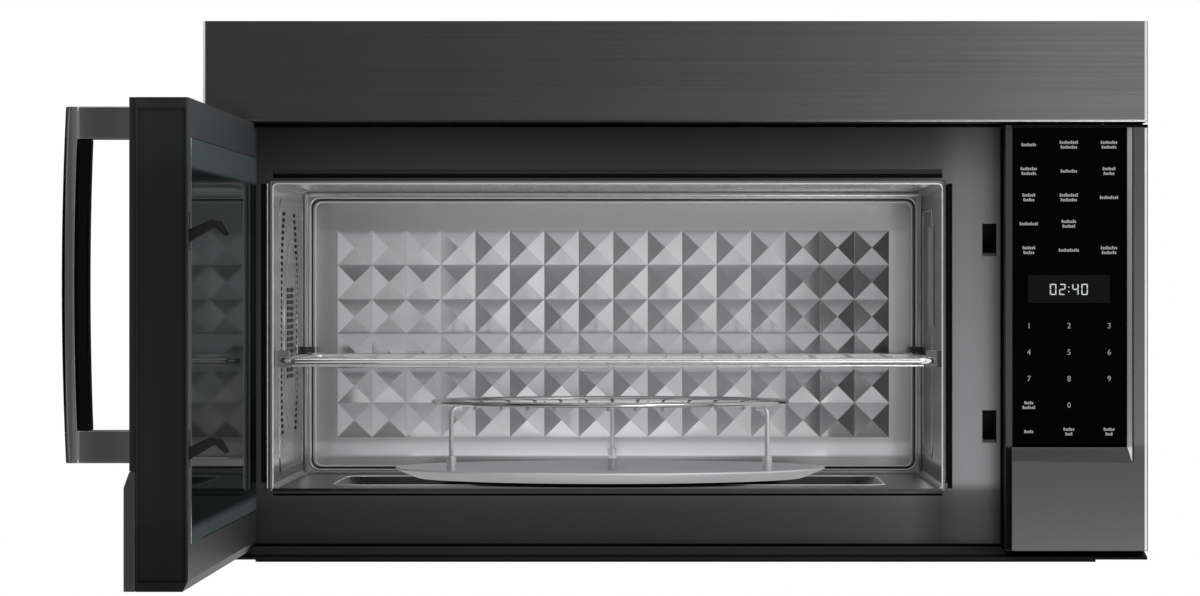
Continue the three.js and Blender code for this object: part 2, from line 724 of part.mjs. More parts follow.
/** The ring that carries the three rollers: spokes to a collar, and a lug with a pin for each. */
function rollerRing() {
  const [low, high] = [ringLow, ringLow + RING.thick];
  const ring = prism(circle(RING.outer, 0, 0, 48), 'z', low, high, [circle(RING.inner, 0, 0, 48)]);
  const collar = prism(circle(RING.collar, 0, 0, 32), 'z', low, high, [
    circle(RING.collarHole, 0, 0, 32),
  ]);
  const spokes = rollerAngles.map((degrees) => {
    const spoke = box(RING.collar - 2, RING.inner + 2, -RING.spoke, RING.spoke, low, high);
    return spoke.rotate([0, 0, degrees]);
  });
  const lugs = rollerAngles.map((degrees) => {
    const tip = ROLLER_TRACK + ROLLER.half + RUN;
    const lug = join(
      box(RING.inner + 1, RING.outer - 0.5, -RING.lug, RING.lug, low, rollerZ + 2.6),
      bar(ROLLER.pin, 'x', RING.outer - 2, tip + 1.5, 0, rollerZ, 16),
      bar(ROLLER.head, 'x', tip, tip + 1.5, 0, rollerZ, 16),
    );
    return lug.rotate([0, 0, degrees]);
  });
  return join(ring, collar, ...spokes, ...lugs);
}

/** One roller, lying along X at the track radius before it is turned to its place. */
function roller() {
  const [a, b] = [ROLLER_TRACK - ROLLER.half, ROLLER_TRACK + ROLLER.half];
  const wheel = bar(ROLLER_RADIUS, 'x', a, b, 0, rollerZ, 32);
  return cut(wheel, bar(ROLLER.bore, 'x', a - 1, b + 1, 0, rollerZ, 16));
}

/** The slow motor under the floor, its shaft standing up into the coupler. */
function turntableMotor() {
  const high = recessTop - LINER_WALL - FIT;
  const body = bar(24.5, 'z', high - 15, high, 0, 0, 32);
  const ears = prism(roundedRectangle(-33, 33, -6, 6, 5.9), 'z', high - 1.5, high);
  const shaft = bar(COUPLER.shaft, 'z', high - 1, trayUnder - 5, 0, 0);
  return join(body, ears, shaft);
}

const LEG = { rod: 2, sleeve: 3.9, sleeveHeight: 18, angles: [90, 208, 332] };
const ROUND_WIRES = { half: 5, pitch: 22.2, rod: 1.6 };
const FRAME_ROD = 2.25;

/** The tall round rack: a ring with parallel wires, on three legs with sleeved feet. */
function roundRack() {
  const floor = trayTop + FIT;
  const ringZ = floor + ROUND_RACK_HEIGHT;
  const wireZ = ringZ - FRAME_ROD - ROUND_WIRES.rod + 0.4;
  const r = ROUND_RACK_RADIUS;
  const ring = solid(new THREE.TorusGeometry(r, FRAME_ROD, 10, 56).translate(0, 0, ringZ));
  const wires = [];
  for (let i = -ROUND_WIRES.half; i <= ROUND_WIRES.half; i += 1) {
    const x = i * ROUND_WIRES.pitch;
    const reach = Math.sqrt(r ** 2 - x ** 2) + 0.6;
    wires.push(bar(ROUND_WIRES.rod, 'y', -reach, reach, x, wireZ, 8));
  }
  const legs = LEG.angles.map((degrees) => {
    const bend = new THREE.CatmullRomCurve3([
      new THREE.Vector3(r - 24, 0, wireZ - 2.4),
      new THREE.Vector3(r - 10, 0, wireZ - 2.4),
      new THREE.Vector3(r - 2.4, 0, wireZ - 5),
      new THREE.Vector3(r - 0.4, 0, wireZ - 12),
      new THREE.Vector3(r, 0, floor + LEG.sleeveHeight - 2),
    ]);
    const sleeve = bar(LEG.sleeve, 'z', floor, floor + LEG.sleeveHeight, r, 0, 16);
    return join(rod(bend, LEG.rod, 10), sleeve).rotate([0, 0, degrees]);
  });
  return join(ring, ...wires, ...legs);
}

// ---- Microwave generator ------------------------------------------------------------------

const GUIDE = { deep: 32, y0: FEED.y0 - 38, y1: FEED.y1 + 36, z0: FEED.z0 - 8, z1: FEED.z1 + 8, sheet: 1 };
const guideLeft = cavity.right + LINER_WALL + FIT;
const guideRight = guideLeft + GUIDE.deep;
const antenna = { y: GUIDE.y1 - 22, z: (GUIDE.z0 + GUIDE.z1) / 2, radius: 9 };
const MAGNETRON = { forward: 42, back: 30, half: 36, reach: 56, plate: 2, core: 20, fins: 6, finPitch: 8 };

/** The waveguide, a channel open towards the cavity wall and pierced for the antenna. */
function waveguide() {
  const shell = box(guideLeft, guideRight, GUIDE.y0, GUIDE.y1, GUIDE.z0, GUIDE.z1);
  const hollow = box(
    guideLeft - 1,
    guideRight - GUIDE.sheet,
    GUIDE.y0 + GUIDE.sheet,
    GUIDE.y1 - GUIDE.sheet,
    GUIDE.z0 + GUIDE.sheet,
    GUIDE.z1 - GUIDE.sheet,
  );
  const hole = bar(antenna.radius + RUN, 'x', guideRight - 3, guideRight + 1, antenna.y, antenna.z);
  return cut(shell, hollow, hole);
}

/** The mica sheet that keeps splashes out of the waveguide. */
function waveguideCover() {
  const [x0, x1] = [cavity.right - FIT - 0.8, cavity.right - FIT];
  return box(x0, x1, FEED.y0 - 8, FEED.y1 + 8, FEED.z0 - 8, FEED.z1 + 8);
}

/** The magnetron: an antenna, a core with cooling fins in its yoke, and its filter box. */
function magnetron() {
  const base = guideRight + FIT;
  const { y, z } = antenna;
  const { half, plate } = MAGNETRON;
  const [y0, y1] = [y - MAGNETRON.forward, y + MAGNETRON.back];
  const end = base + MAGNETRON.reach;
  const fins = Array.from({ length: MAGNETRON.fins }, (_, i) => {
    const x = base + (i + 1) * MAGNETRON.finPitch;
    return box(x, x + 1.5, y0, y1, z - half + 3, z + half - 3);
  });
  const yoke = [
    box(base, base + plate, y0, y1, z - half, z + half),
    box(base, end, y0, y1, z - half, z - half + 1.5),
    box(base, end, y0, y1, z + half - 1.5, z + half),
    box(end - plate, end, y0, y1, z - half, z + half),
  ];
  const core = bar(MAGNETRON.core, 'x', base, end, y, z);
  const probe = bar(antenna.radius, 'x', guideLeft + 8, base + 1, y, z);
  const filter = box(end - 1, end + 32, y0 + 6, y1 - 10, z - half + 14, z + half - 14);
  return join(core, probe, filter, ...fins, ...yoke);
}

const COOLER = {
  x: (cavity.right + LINER_WALL + right - CASE_SHEET) / 2,
  z: cavityZ + 56.9,
  y0: backPanelInside - 67.2,
  y1: backPanelInside - 43.2,
  half: 55,
  hole: 51,
  motor: 22,
};

/** The square housing of the cooling fan, stood off the back panel, with its motor. */
function coolingFanHousing() {
  const { x, z, half, y0, y1 } = COOLER;
  const frame = box(x - half, x + half, y0, y1, z - half, z + half);
  const hole = bar(COOLER.hole, 'y', y0 - 1, y1 + 1, x, z, 40);
  const posts = [
    [-1, -1],
    [-1, 1],
    [1, -1],
    [1, 1],
  ].map(([i, k]) => {
    const [px, pz] = [x + i * (half - 5), z + k * (half - 5)];
    return box(px - 4, px + 4, y1 - 2, backPanelInside - FIT, pz - 4, pz + 4);
  });
  const arms = [
    box(x - half + 2, x + half - 2, y1 - 3, y1, z - 5, z + 5),
    box(x - 5, x + 5, y1 - 3, y1, z - half + 2, z + half - 2),
  ];
  const motor = bar(COOLER.motor, 'y', y1 - 3, y1 + 26, x, z);
  const bore = bar(3.4, 'y', y1 - 5, y1 + 18, x, z, 16);
  return cut(join(cut(frame, hole), ...posts, ...arms, motor), bore);
}

/** A propeller about the Y axis: hub, pitched blades and shaft. */
function coolingFan() {
  const { x, z, y0, y1 } = COOLER;
  const hub = bar(15, 'y', y0 + 3, y1 - 5, 0, 0);
  const blades = Array.from({ length: 5 }, (_, i) => {
    const blade = box(12, COOLER.hole - 3, -0.8, 0.8, -9, 9);
    return blade.rotate([-62, 0, 0]).translate([0, (y0 + y1) / 2 - 1, 0]).rotate([0, i * 72, 0]);
  });
  const shaft = bar(2.8, 'y', y1 - 6, y1 + 15, 0, 0, 16);
  return join(hub, shaft, ...blades).translate([x, 0, z]);
}

const TRANSFORMER = { wide: 84, deep: 68, tall: 74, foot: 4, coil: 14, yoke: 12 };

/** The high-voltage transformer: a laminated core between two bulging coils. */
function transformer() {
  const { wide, deep, tall, foot, coil, yoke } = TRANSFORMER;
  const x = COOLER.x - 8.5;
  const y = cavity.front + 77.5;
  const z = trayFloor + FIT;
  const across = (half) => [x - half, x + half];
  const along = (half) => [y - half, y + half];
  const windings = roundedRectangle(...across(wide / 2 - coil), ...along(deep / 2 + coil), coil);
  return join(
    box(...across(wide / 2), ...along(deep / 2), z, z + tall),
    box(...across(wide / 2 + foot), ...along(deep / 2 - foot), z, z + foot),
    prism(windings, 'z', z + yoke, z + tall - yoke),
  );
}

// ---- Vent blower --------------------------------------------------------------------------

const BLOWER = {
  half: 150,
  y0: backPanelInside - 169.2,
  y1: backPanelInside - 9.2,
  axisY: backPanelInside - 89.2,
  sheet: 1.5,
  wheel: 50,
  drum: 62,
  motor: 36,
  motorHalf: 52,
  inlet: 40,
  shaft: 5,
};
const blowerTop = top - CASE_SHEET - FIT;
const blowerBottom = cavity.top + LINER_WALL + 6;
const blowerAxisZ = (blowerBottom + blowerTop) / 2;

/** The blower housing: a box open at the front and top, inlets at both ends, motor inside. */
function blowerHousing() {
  const { half, y0, y1, sheet, axisY } = BLOWER;
  const shell = box(-half, half, y0, y1, blowerBottom, blowerTop);
  const hollow = box(-half + sheet, half - sheet, y0 - 1, y1 - sheet, blowerBottom + sheet, blowerTop + 1);
  const inlets = bar(BLOWER.inlet, 'x', -half - 1, half + 1, axisY, blowerAxisZ, 32);
  const motor = bar(BLOWER.motor, 'x', -BLOWER.motorHalf, BLOWER.motorHalf, axisY, blowerAxisZ, 32);
  const stand = box(-30, 30, axisY - 16, axisY + 16, blowerBottom + sheet / 2, blowerAxisZ - 20);
  const boreHalf = BLOWER.motorHalf + 8;
  const bore = bar(BLOWER.shaft + 0.5, 'x', -boreHalf, boreHalf, axisY, blowerAxisZ, 16);
  return cut(join(cut(shell, hollow, inlets), motor, stand), bore);
}

/** The rotor: one shaft with a drum wheel at each end. */
function blowerRotor() {
  const { wheel, drum } = BLOWER;
  const near = BLOWER.half - 18 - drum;
  const far = near + drum;
  const shaft = bar(BLOWER.shaft, 'x', -far - 6, far + 6, 0, 0, 16);
  const drums = [-1, 1].flatMap((side) => {
    const span = (a, b) => [side * a, side * b].sort((p, q) => p - q);
    const [d0, d1] = span(near, near + 3);
    const [r0, r1] = span(far - 4, far);
    const [b0, b1] = span(near + 1, far - 2);
    const disc = bar(wheel, 'x', d0, d1, 0, 0, 32);
    const ring = prism(circle(wheel, 0, 0, 32), 'x', r0, r1, [circle(wheel - 9, 0, 0, 32)]);
    const blades = Array.from({ length: 20 }, (_, i) =>
      box(b0, b1, wheel - 8.5, wheel - 1, -0.7, 0.7).rotate([18 * i, 0, 0]),
    );
    const spokes = [0, 90].map((degrees) =>
      box(r0 + 0.5, r1 - 0.5, -wheel + 4, wheel - 4, -2, 2).rotate([degrees, 0, 0]),
    );
    return [disc, ring, ...spokes, ...blades];
  });
  return join(shaft, ...drums).translate([0, BLOWER.axisY, blowerAxisZ]);
}

// ---- Convection unit ----------------------------------------------------------------------

const HOT = { half: 118, depth: 32, sheet: 1, heater: 92, rod: 3.3, fan: 68 };
const hotRight = cavity.left - LINER_WALL - FIT;
const hotLeft = hotRight - HOT.depth;

/** The pan behind the left wall that guides hot air, with the fan motor on its back. */
function convectionHousing() {
  const { half, sheet } = HOT;
  const high = fanZ + half;
  const low = fanZ - half;
  const shell = box(hotLeft, hotRight, fanY - half - 20, fanY + half + 20, low, high);
  const hollow = box(
    hotLeft + sheet,
    hotRight + 1,
    fanY - half - 20 + sheet,
    fanY + half + 20 - sheet,
    low + sheet,
    high - sheet,
  );
  const motor = bar(30, 'x', left + CASE_SHEET + FIT, hotLeft + 0.5, fanY, fanZ, 32);
  const bore = bar(3.6, 'x', left + CASE_SHEET + 4, hotLeft + 3, fanY, fanZ, 16);
  return cut(join(cut(shell, hollow), motor), bore);
}

/** The ring heater, lying against the back of the pan. */
function convectionHeater() {
  const ring = new THREE.TorusGeometry(HOT.heater, HOT.rod, 8, 48).rotateY(Math.PI / 2);
  return solid(ring.translate(hotLeft + HOT.sheet + FIT + HOT.rod, fanY, fanZ));
}

/** The convection fan: a disc with radial vanes, on its shaft. */
function convectionFan() {
  const disc = bar(HOT.fan, 'x', hotLeft + 10, hotLeft + 11.5, 0, 0, 32);
  const vanes = Array.from({ length: 10 }, (_, i) =>
    box(hotLeft + 11, hotRight - 5, 24, HOT.fan - 2, -0.8, 0.8).rotate([36 * i, 0, 0]),
  );
  const hub = bar(10, 'x', hotLeft + 8, hotLeft + 20, 0, 0);
  const shaft = bar(3, 'x', hotLeft - 8, hotLeft + 9, 0, 0, 16);
  return join(disc, hub, shaft, ...vanes).translate([0, fanY, fanZ]);
}

// ---- Latch body ---------------------------------------------------------------------------

/** The plastic body behind the latch slots, with a pocket for each hook and the switches on it. */
function latchBody() {
  const [x0, x1] = [latchX - 12, latchX + 12];
  const [y0, y1] = [caseFront, caseFront + 34];
  const body = box(x0, x1, y0, y1, SLOT_BOTTOM - LATCH_PITCH - 10, SLOT_BOTTOM + SLOT_HEIGHT + 10);
  const pockets = slotOffsets.map((offset) =>
    box(
      latchX - SLOT_WIDTH / 2 - 1,
      latchX + SLOT_WIDTH / 2 + 1,
      y0 - 1,
      y1 - 4,
      SLOT_BOTTOM + offset - 1,
      SLOT_BOTTOM + offset + SLOT_HEIGHT + 1,
    ),
  );
  const between = box(x0 - 1, x1 - 3, y0 + 5, y1 - 4, SLOT_BOTTOM - LATCH_PITCH + 36, SLOT_BOTTOM - 9);
  const switches = slotOffsets.map((offset) => {
    const z = SLOT_BOTTOM + offset + SLOT_HEIGHT / 2;
    return box(x0 - 10, x0 + 0.5, y0 + 4, y0 + 32, z - 8, z + 8);
  });
  return join(cut(body, ...pockets, between), ...switches);
}

// ---- Control panel ------------------------------------------------------------------------

const PANEL = { glassLeft: 5.9, glassRight: 97.5, skinLeft: 4.5, wall: 2, topRim: 2.8, skin: 8 };
const panelTop = fasciaBottom - 1.9;
const panelGlass = { x0: panelLeft + PANEL.glassLeft, x1: panelLeft + PANEL.glassRight };
const panelGlassTop = panelTop - PANEL.topRim;
const SIDE_CHAMFER = 4.8;

/** The plastic frame of the control panel, open at the back, with a rim beside the glass. */
function controlHousing() {
  const x1 = right - CASE_SHEET - FIT;
  const [y0, y1] = [glassFace + GLASS + FIT, plateFace - FIT];
  const { wall } = PANEL;
  const shell = box(panelLeft, x1, y0, y1, doorBottom, panelTop);
  const hollow = box(panelLeft + wall, x1 - wall, y0 + wall, y1 + 1, doorBottom + wall, panelTop - wall);
  const window = box(
    DISPLAY.x0 - 0.5,
    DISPLAY.x1 + 0.5,
    y0 - 1,
    y0 + wall + 1,
    DISPLAY.z0 - 0.5,
    DISPLAY.z1 + 0.5,
  );
  const rimFront = glassFace + 1;
  const rims = [
    box(panelLeft, panelLeft + PANEL.skinLeft - FIT, rimFront, y0 + 1, doorBottom, panelTop),
    box(panelLeft, panelGlass.x0 - FIT, rimFront, y0 + 1, glassBottom, panelTop),
    box(panelLeft, panelGlass.x1, rimFront, y0 + 1, panelGlassTop + FIT, panelTop),
  ];
  return join(cut(shell, hollow, window), ...rims);
}

const DISPLAY = {
  x0: panelLeft + 17.9,
  x1: panelLeft + 83.8,
  z0: panelGlassTop - 140.6,
  z1: panelGlassTop - 118.1,
};

function controlGlass() {
  return box(panelGlass.x0, panelGlass.x1, glassFace, glassFace + GLASS, glassBottom, panelGlassTop);
}

/** The steel surround: a band under and right of the glass, chamfered down to it. */
function controlSkin() {
  const x0 = panelLeft + PANEL.skinLeft;
  const y1 = front + PANEL.skin;
  const plate = box(x0, right, front, y1, doorBottom, panelTop);
  const edge = panelGlass.x1 + FIT;
  const slope = SIDE_CHAMFER / PANEL_PROUD;
  const beside = prism(
    [
      [x0 - 9, front - 9],
      [edge + slope * (PANEL_PROUD + 9), front - 9],
      [edge, glassFace],
      [edge, y1 + 1],
      [x0 - 9, y1 + 1],
    ],
    'z',
    doorBottom - 60,
    panelTop + 1,
  );
  const rise = STEEL_CHAMFER / PANEL_PROUD;
  const above = prism(
    [
      [front - 9, glassBottom - FIT - rise * (PANEL_PROUD + 9)],
      [glassFace, glassBottom - FIT],
      [y1 + 1, glassBottom - FIT],
      [y1 + 1, panelTop + 1],
      [front - 9, panelTop + 1],
    ],
    'x',
    x0 - 9,
    right + 40,
  );
  const pocket = beside.intersect(above);
  const side = box(right - CASE_SHEET, right, front + 1, plateFace - FIT, doorBottom, panelTop);
  return join(cut(plate, pocket), side);
}

/** The control board with its display module at the front and relays at the back. */
function controlBoard() {
  const y = glassFace + GLASS + FIT + 12;
  const board = box(panelLeft + 9, panelLeft + 100, y, y + 1.6, glassBottom + 5.8, panelGlassTop - 10.6);
  const display = box(DISPLAY.x0, DISPLAY.x1, glassFace + GLASS + FIT, y + 0.5, DISPLAY.z0, DISPLAY.z1);
  const relays = [glassBottom + 45.8, glassBottom + 85.8, panelGlassTop - 70.6].map((z) =>
    box(panelLeft + 30, panelLeft + 52, y + 1, y + 17, z - 8, z + 8),
  );
  const socket = box(panelLeft + 62, panelLeft + 92, y + 1, y + 11, DISPLAY.z0 - 20, DISPLAY.z0 + 10);
  return join(board, display, socket, ...relays);
}

// ---- Door, modelled shut, from the hinge axis ---------------------------------------------

const d = {
  left: -HINGE_INSET,
  right: doorWidth - HINGE_INSET,
  glass: -HINGE_INSET,
  panel: -HINGE_INSET - PANEL_PROUD,
  inside: DOOR_THICKNESS - HINGE_INSET,
};
const NOTCH = { length: 40, depth: 4 };
const DOOR_WALL = 3;
const INNER_SKIN = 6;
const SIDE_BEVEL = 12;
const INNER_GLASS = { x0: d.left + 13.5, x1: d.right - 23, top: 27.4, bottom: 32.4, thick: 3 };
const WINDOW = { x0: d.left + 62, x1: d.right - 61, top: 52, bottom: 70 };
const END_RECESS = { depth: 3, y0: d.glass + 6.2, y1: d.inside - 1.8, top: 7.4, bottom: 6.4 };
const skinFace = d.inside - INNER_SKIN;
const frameFront = d.glass + GLASS + FIT;
const hookX = latchX - hingeX;
const LEVER = { y0: skinFace - 13, y1: skinFace - 4, over: 9, under: 26 };
const leverBottom = SLOT_BOTTOM + 2 - LATCH_PITCH - LEVER.under;
const SPRING = { radius: 3, length: 36 };

/** The door's body: a tray with a window, closed at the front by the glass and the steel band. */
function doorFrame() {
  const [zb, zt] = [doorBottom, doorTop];
  const endWall = END_RECESS.depth + 1.5;
  const block = box(d.left, d.right, frameFront, d.inside, zb, zt);
  const hollow = box(
    d.left + DOOR_WALL,
    d.right - endWall,
    frameFront - 1,
    skinFace,
    zb + DOOR_WALL,
    zt - DOOR_WALL,
  );
  const window = box(WINDOW.x0, WINDOW.x1, skinFace - 1, d.inside + 1, zb + WINDOW.bottom, zt - WINDOW.top);
  const glassSeat = box(
    INNER_GLASS.x0 - FIT,
    INNER_GLASS.x1 + FIT,
    d.inside - INNER_GLASS.thick - FIT,
    d.inside + 1,
    zb + INNER_GLASS.bottom - FIT,
    zt - INNER_GLASS.top + FIT,
  );
  const endRecess = box(
    d.right - END_RECESS.depth,
    d.right + 1,
    END_RECESS.y0,
    END_RECESS.y1,
    zb + END_RECESS.bottom,
    zt - END_RECESS.top,
  );
  const slots = slotOffsets.map((offset) =>
    box(
      hookX - HOOK_WIDTH / 2 - RUN,
      hookX + HOOK_WIDTH / 2 + RUN,
      skinFace - 1,
      d.inside + 1,
      SLOT_BOTTOM + offset,
      SLOT_BOTTOM + offset + SLOT_HEIGHT + 1,
    ),
  );
  const hingeBevel = prism(
    [
      [d.left - 2, d.inside - SIDE_BEVEL - 2],
      [d.left + SIDE_BEVEL + 2, d.inside + 2],
      [d.left - 2, d.inside + 2],
    ],
    'z',
    zb - 1,
    zt + 1,
  );
  const sillBevel = prism(
    [
      [d.inside - 4 - 16 / 15, zb - 2],
      [d.inside + 2, zb - 2],
      [d.inside + 2, zb + 11.25],
    ],
    'x',
    d.left - 1,
    d.right + 1,
  );
  const notch = box(
    d.left - 1,
    d.left + NOTCH.length,
    frameFront - 1,
    d.inside + 1,
    zt - NOTCH.depth,
    zt + 1,
  );
  const bossHeight = 20;
  const bosses = [zb, zt - bossHeight].map((z) =>
    box(d.left + 1, d.left + NOTCH.length + 3, frameFront, skinFace + 1, z, z + bossHeight),
  );
  const springSeat = box(
    hookX - 4,
    hookX + 4,
    LEVER.y0 - 2,
    skinFace + 1,
    leverBottom - SPRING.length - FIT - 4,
    leverBottom - SPRING.length - FIT,
  );
  const bores = bar(HINGE_PIN + 0.35, 'z', zb - 1, zt + 1, 0, 0);
  return cut(
    join(cut(block, hollow), ...bosses, springSeat),
    window,
    glassSeat,
    endRecess,
    ...slots,
    hingeBevel,
    sillBevel,
    notch,
    bores,
  );
}

function doorOuterGlass() {
  return box(d.left, d.right, d.glass, d.glass + GLASS, glassBottom, doorTop);
}

/** The steel band under the door's glass, chamfered down to it like the control panel's. */
function doorOuterPanel() {
  const back = d.glass + GLASS;
  const outline = [
    [d.glass, glassBottom - FIT],
    [d.panel, glassBottom - FIT - STEEL_CHAMFER],
    [d.panel, doorBottom],
    [back, doorBottom],
    [back, glassBottom - FIT],
  ];
  return prism(outline, 'x', d.left, d.right);
}

function doorInnerGlass() {
  const { x0, x1, thick } = INNER_GLASS;
  const [z0, z1] = [doorBottom + INNER_GLASS.bottom, doorTop - INNER_GLASS.top];
  return prism(roundedRectangle(x0, x1, z0, z1, 3), 'y', d.inside - thick, d.inside);
}

/** The shielding screen behind the window. */
function doorScreen() {
  const y1 = skinFace - FIT;
  const [z0, z1] = [doorBottom + WINDOW.bottom - 12, doorTop - WINDOW.top + 12];
  return box(WINDOW.x0 - 12, WINDOW.x1 + 12, y1 - 1, y1, z0, z1);
}

const HANDLE = {
  inset: 30, // middle of the bar from the free edge
  half: 12, // half its width
  top: 6, // below the top of the door
  length: 249,
  reach: 47, // ends of the bar from the glass
  bow: 3,
  metal: 10,
  grip: 9.3,
  post: 22.8,
};
const handleX = d.right - HANDLE.inset;
const handleTop = doorTop - HANDLE.top;
const handleBottom = handleTop - HANDLE.length;
const barBack = d.glass - HANDLE.reach + HANDLE.metal;

/** How far the bowed bar stands out at a height. */
function bow(z) {
  const along = (2 * (z - (handleTop + handleBottom) / 2)) / HANDLE.length;
  return HANDLE.bow * (1 - along * along);
}

/** A bowed bar of one section between two heights, its back following the bow. */
function bowed(section, z0, z1, steps) {
  return loft(
    Array.from({ length: steps + 1 }, (_, i) => {
      const z = z0 + ((z1 - z0) * i) / steps;
      return { z, outline: section.map(([x, y]) => [handleX + x, barBack - bow(z) + y]) };
    }),
  );
}

/** The handle: a bowed steel bar with a crowned face, joined to its two posts. */
function handleBar() {
  const { half, metal, post } = HANDLE;
  const section = [
    [-half, 0],
    [-half, -metal * 0.55],
    [-half * 0.72, -metal * 0.86],
    [0, -metal],
    [half * 0.72, -metal * 0.86],
    [half, -metal * 0.55],
    [half, 0],
  ].reverse();
  const posts = [handleBottom, handleTop - post].map((z) =>
    box(handleX - half + 0.6, handleX + half - 0.6, barBack - 3.5, d.glass - FIT, z, z + post),
  );
  return join(bowed(section, handleBottom, handleTop, 16), ...posts);
}

/** The soft black grip along the inner side of the bar. */
function handleGrip() {
  const { half, grip, post } = HANDLE;
  const section = [
    [-half + 1, FIT],
    [half - 1, FIT],
    [half - 1, grip * 0.6],
    [half - 4, grip],
    [-half + 4, grip],
    [-half + 1, grip * 0.6],
  ];
  return bowed(section, handleBottom + post + FIT, handleTop - post - FIT, 14);
}

/** The latch lever: a flat bar inside the door with two hooks that reach out of it. */
function latchLever() {
  const f = d.inside;
  const { y0, y1, over } = LEVER;
  const hook = (low) => [
    [y1, low],
    [f, low + 3.3],
    [f + 18.2, low + 14],
    [f + 25.4, low + 7.6],
    [f + 28.8, low + 9],
    [f + 23.2, low + 18.6],
    [f + 15.5, low + 19.6],
    [f, low + 12.4],
    [y1, low + 9],
  ];
  const upper = SLOT_BOTTOM + 2;
  const lower = upper - LATCH_PITCH;
  const outline = [
    [y0, leverBottom],
    [y1, leverBottom],
    ...hook(lower),
    ...hook(upper),
    [y1, upper + 9 + over],
    [y0, upper + 9 + over],
  ];
  return prism(outline, 'x', hookX - HOOK_WIDTH / 2, hookX + HOOK_WIDTH / 2);
}

/** The spring that pulls the lever down, between its foot and a seat in the door. */
function latchSpring() {
  const y = (LEVER.y0 + LEVER.y1) / 2;
  return bar(SPRING.radius, 'z', leverBottom - SPRING.length, leverBottom - FIT, hookX, y, 16);
}

// ---- Hinges -------------------------------------------------------------------------------

/** A hinge bracket: a tongue with the pin, and a flange behind the front plate. */
function hingeBracket(z, pinEnd, flangeEnd) {
  const { x0, x1 } = bracketSpan;
  const rear = caseFront + BRACKET;
  const tongue = join(
    bar(x1, 'z', z, z + BRACKET, hingeX, hingeY, 32),
    box(hingeX + x0, hingeX + x1, hingeY, rear, z, z + BRACKET),
  );
  const [z0, z1] = [Math.min(z, flangeEnd), Math.max(z + BRACKET, flangeEnd)];
  const flange = box(hingeX + x0, hingeX + x1, caseFront, rear, z0, z1);
  const [p0, p1] = [Math.min(z, pinEnd), Math.max(z + BRACKET, pinEnd)];
  return join(tongue, flange, bar(HINGE_PIN, 'z', p0, p1, hingeX, hingeY));
}

// ---- Assembly -----------------------------------------------------------------------------

const body = new THREE.Group();
microwave.add(body);

const filterOpenings = [-1, 1].map((side) => [
  side * FILTER_X - FILTER_WIDTH / 2,
  side * FILTER_X + FILTER_WIDTH / 2,
  FILTER_Y - FILTER_LENGTH / 2,
  FILTER_Y + FILTER_LENGTH / 2,
]);
const lampOpenings = [-1, 1].map((side) => [
  side * LAMP_X - LAMP_WIDTH / 2,
  side * LAMP_X + LAMP_WIDTH / 2,
  LAMP_Y - LAMP_LENGTH / 2,
  LAMP_Y + LAMP_LENGTH / 2,
]);

piece(body, 'wall_plate', wallPlate(), zincSheet);
piece(body, 'back_panel', backPanel(), zincSheet);
const caseBack = backPanelFace;
piece(body, 'top_panel', box(left, right, caseFront, caseBack, top - CASE_SHEET, top), zincSheet);
const sideTop = top - CASE_SHEET - FIT;
piece(
  body,
  'side_panel_left',
  box(left, left + CASE_SHEET, caseFront, caseBack, bottom, sideTop),
  paintedFrame,
);
piece(
  body,
  'side_panel_right',
  box(right - CASE_SHEET, right, caseFront, caseBack, bottom, sideTop),
  paintedFrame,
);
piece(body, 'base_pan', basePan([...filterOpenings, ...lampOpenings]), paintedFrame);
for (const [side, word] of [
  [-1, 'left'],
  [1, 'right'],
]) {
  piece(body, `grease_filter_${word}`, greaseFilter(side * FILTER_X, FILTER_Y), castAluminium);
  piece(body, `task_lamp_${word}`, taskLamp(side * LAMP_X, LAMP_Y), whitePlastic);
}
piece(body, 'top_fascia', topFascia(), blackSteel);
piece(body, 'exhaust_grille', exhaustGrille(), blackPlastic);
piece(body, 'base_trim', baseTrim(), blackPlastic);
piece(body, 'front_plate', frontPlate(), frontSteel);
piece(
  body,
  'hinge_bracket_upper',
  hingeBracket(upperBracketZ, upperBracketZ - 15, upperBracketZ - BRACKET_FLANGE),
  zincSheet,
);
piece(
  body,
  'hinge_bracket_lower',
  hingeBracket(lowerBracketZ, lowerBracketZ + BRACKET + 15, lowerBracketZ + BRACKET_FLANGE),
  zincSheet,
);

const oven = new THREE.Group();
microwave.add(oven);

piece(oven, 'cavity_left_wall', cavityLeftWall(), linerSteel);
piece(oven, 'cavity_right_wall', cavityRightWall(), linerSteel);
piece(oven, 'cavity_roof', cavityRoof(), linerSteel);
piece(oven, 'cavity_floor', cavityFloor(), linerSteel);
piece(oven, 'cavity_back_wall', cavityBackWall(), linerSteel);
for (const [side, word] of [
  [-1, 'left'],
  [1, 'right'],
]) {
  piece(oven, `rack_support_front_${word}`, rackSupport(side, supportY.front), blackPlastic);
  piece(oven, `rack_support_rear_${word}`, rackSupport(side, supportY.rear), blackPlastic);
}
piece(oven, 'wire_rack', wireRack(), chrome);

const turntableAxis = new THREE.Group();
turntableAxis.position.set(cavityX, cavityY, 0);
oven.add(turntableAxis);

piece(turntableAxis, 'turntable', turntable(), satinSteel);
piece(turntableAxis, 'turntable_coupler', turntableCoupler(), whitePlastic);
piece(turntableAxis, 'roller_ring', rollerRing(), greyPlastic);
rollerAngles.forEach((degrees, i) => {
  const wheel = piece(turntableAxis, `roller_${i + 1}`, roller(), greyPlastic);
  wheel.rotation.z = THREE.MathUtils.degToRad(degrees);
});
piece(turntableAxis, 'turntable_motor', turntableMotor(), zincSheet);
piece(turntableAxis, 'round_rack', roundRack(), chrome);

const generator = new THREE.Group();
microwave.add(generator);

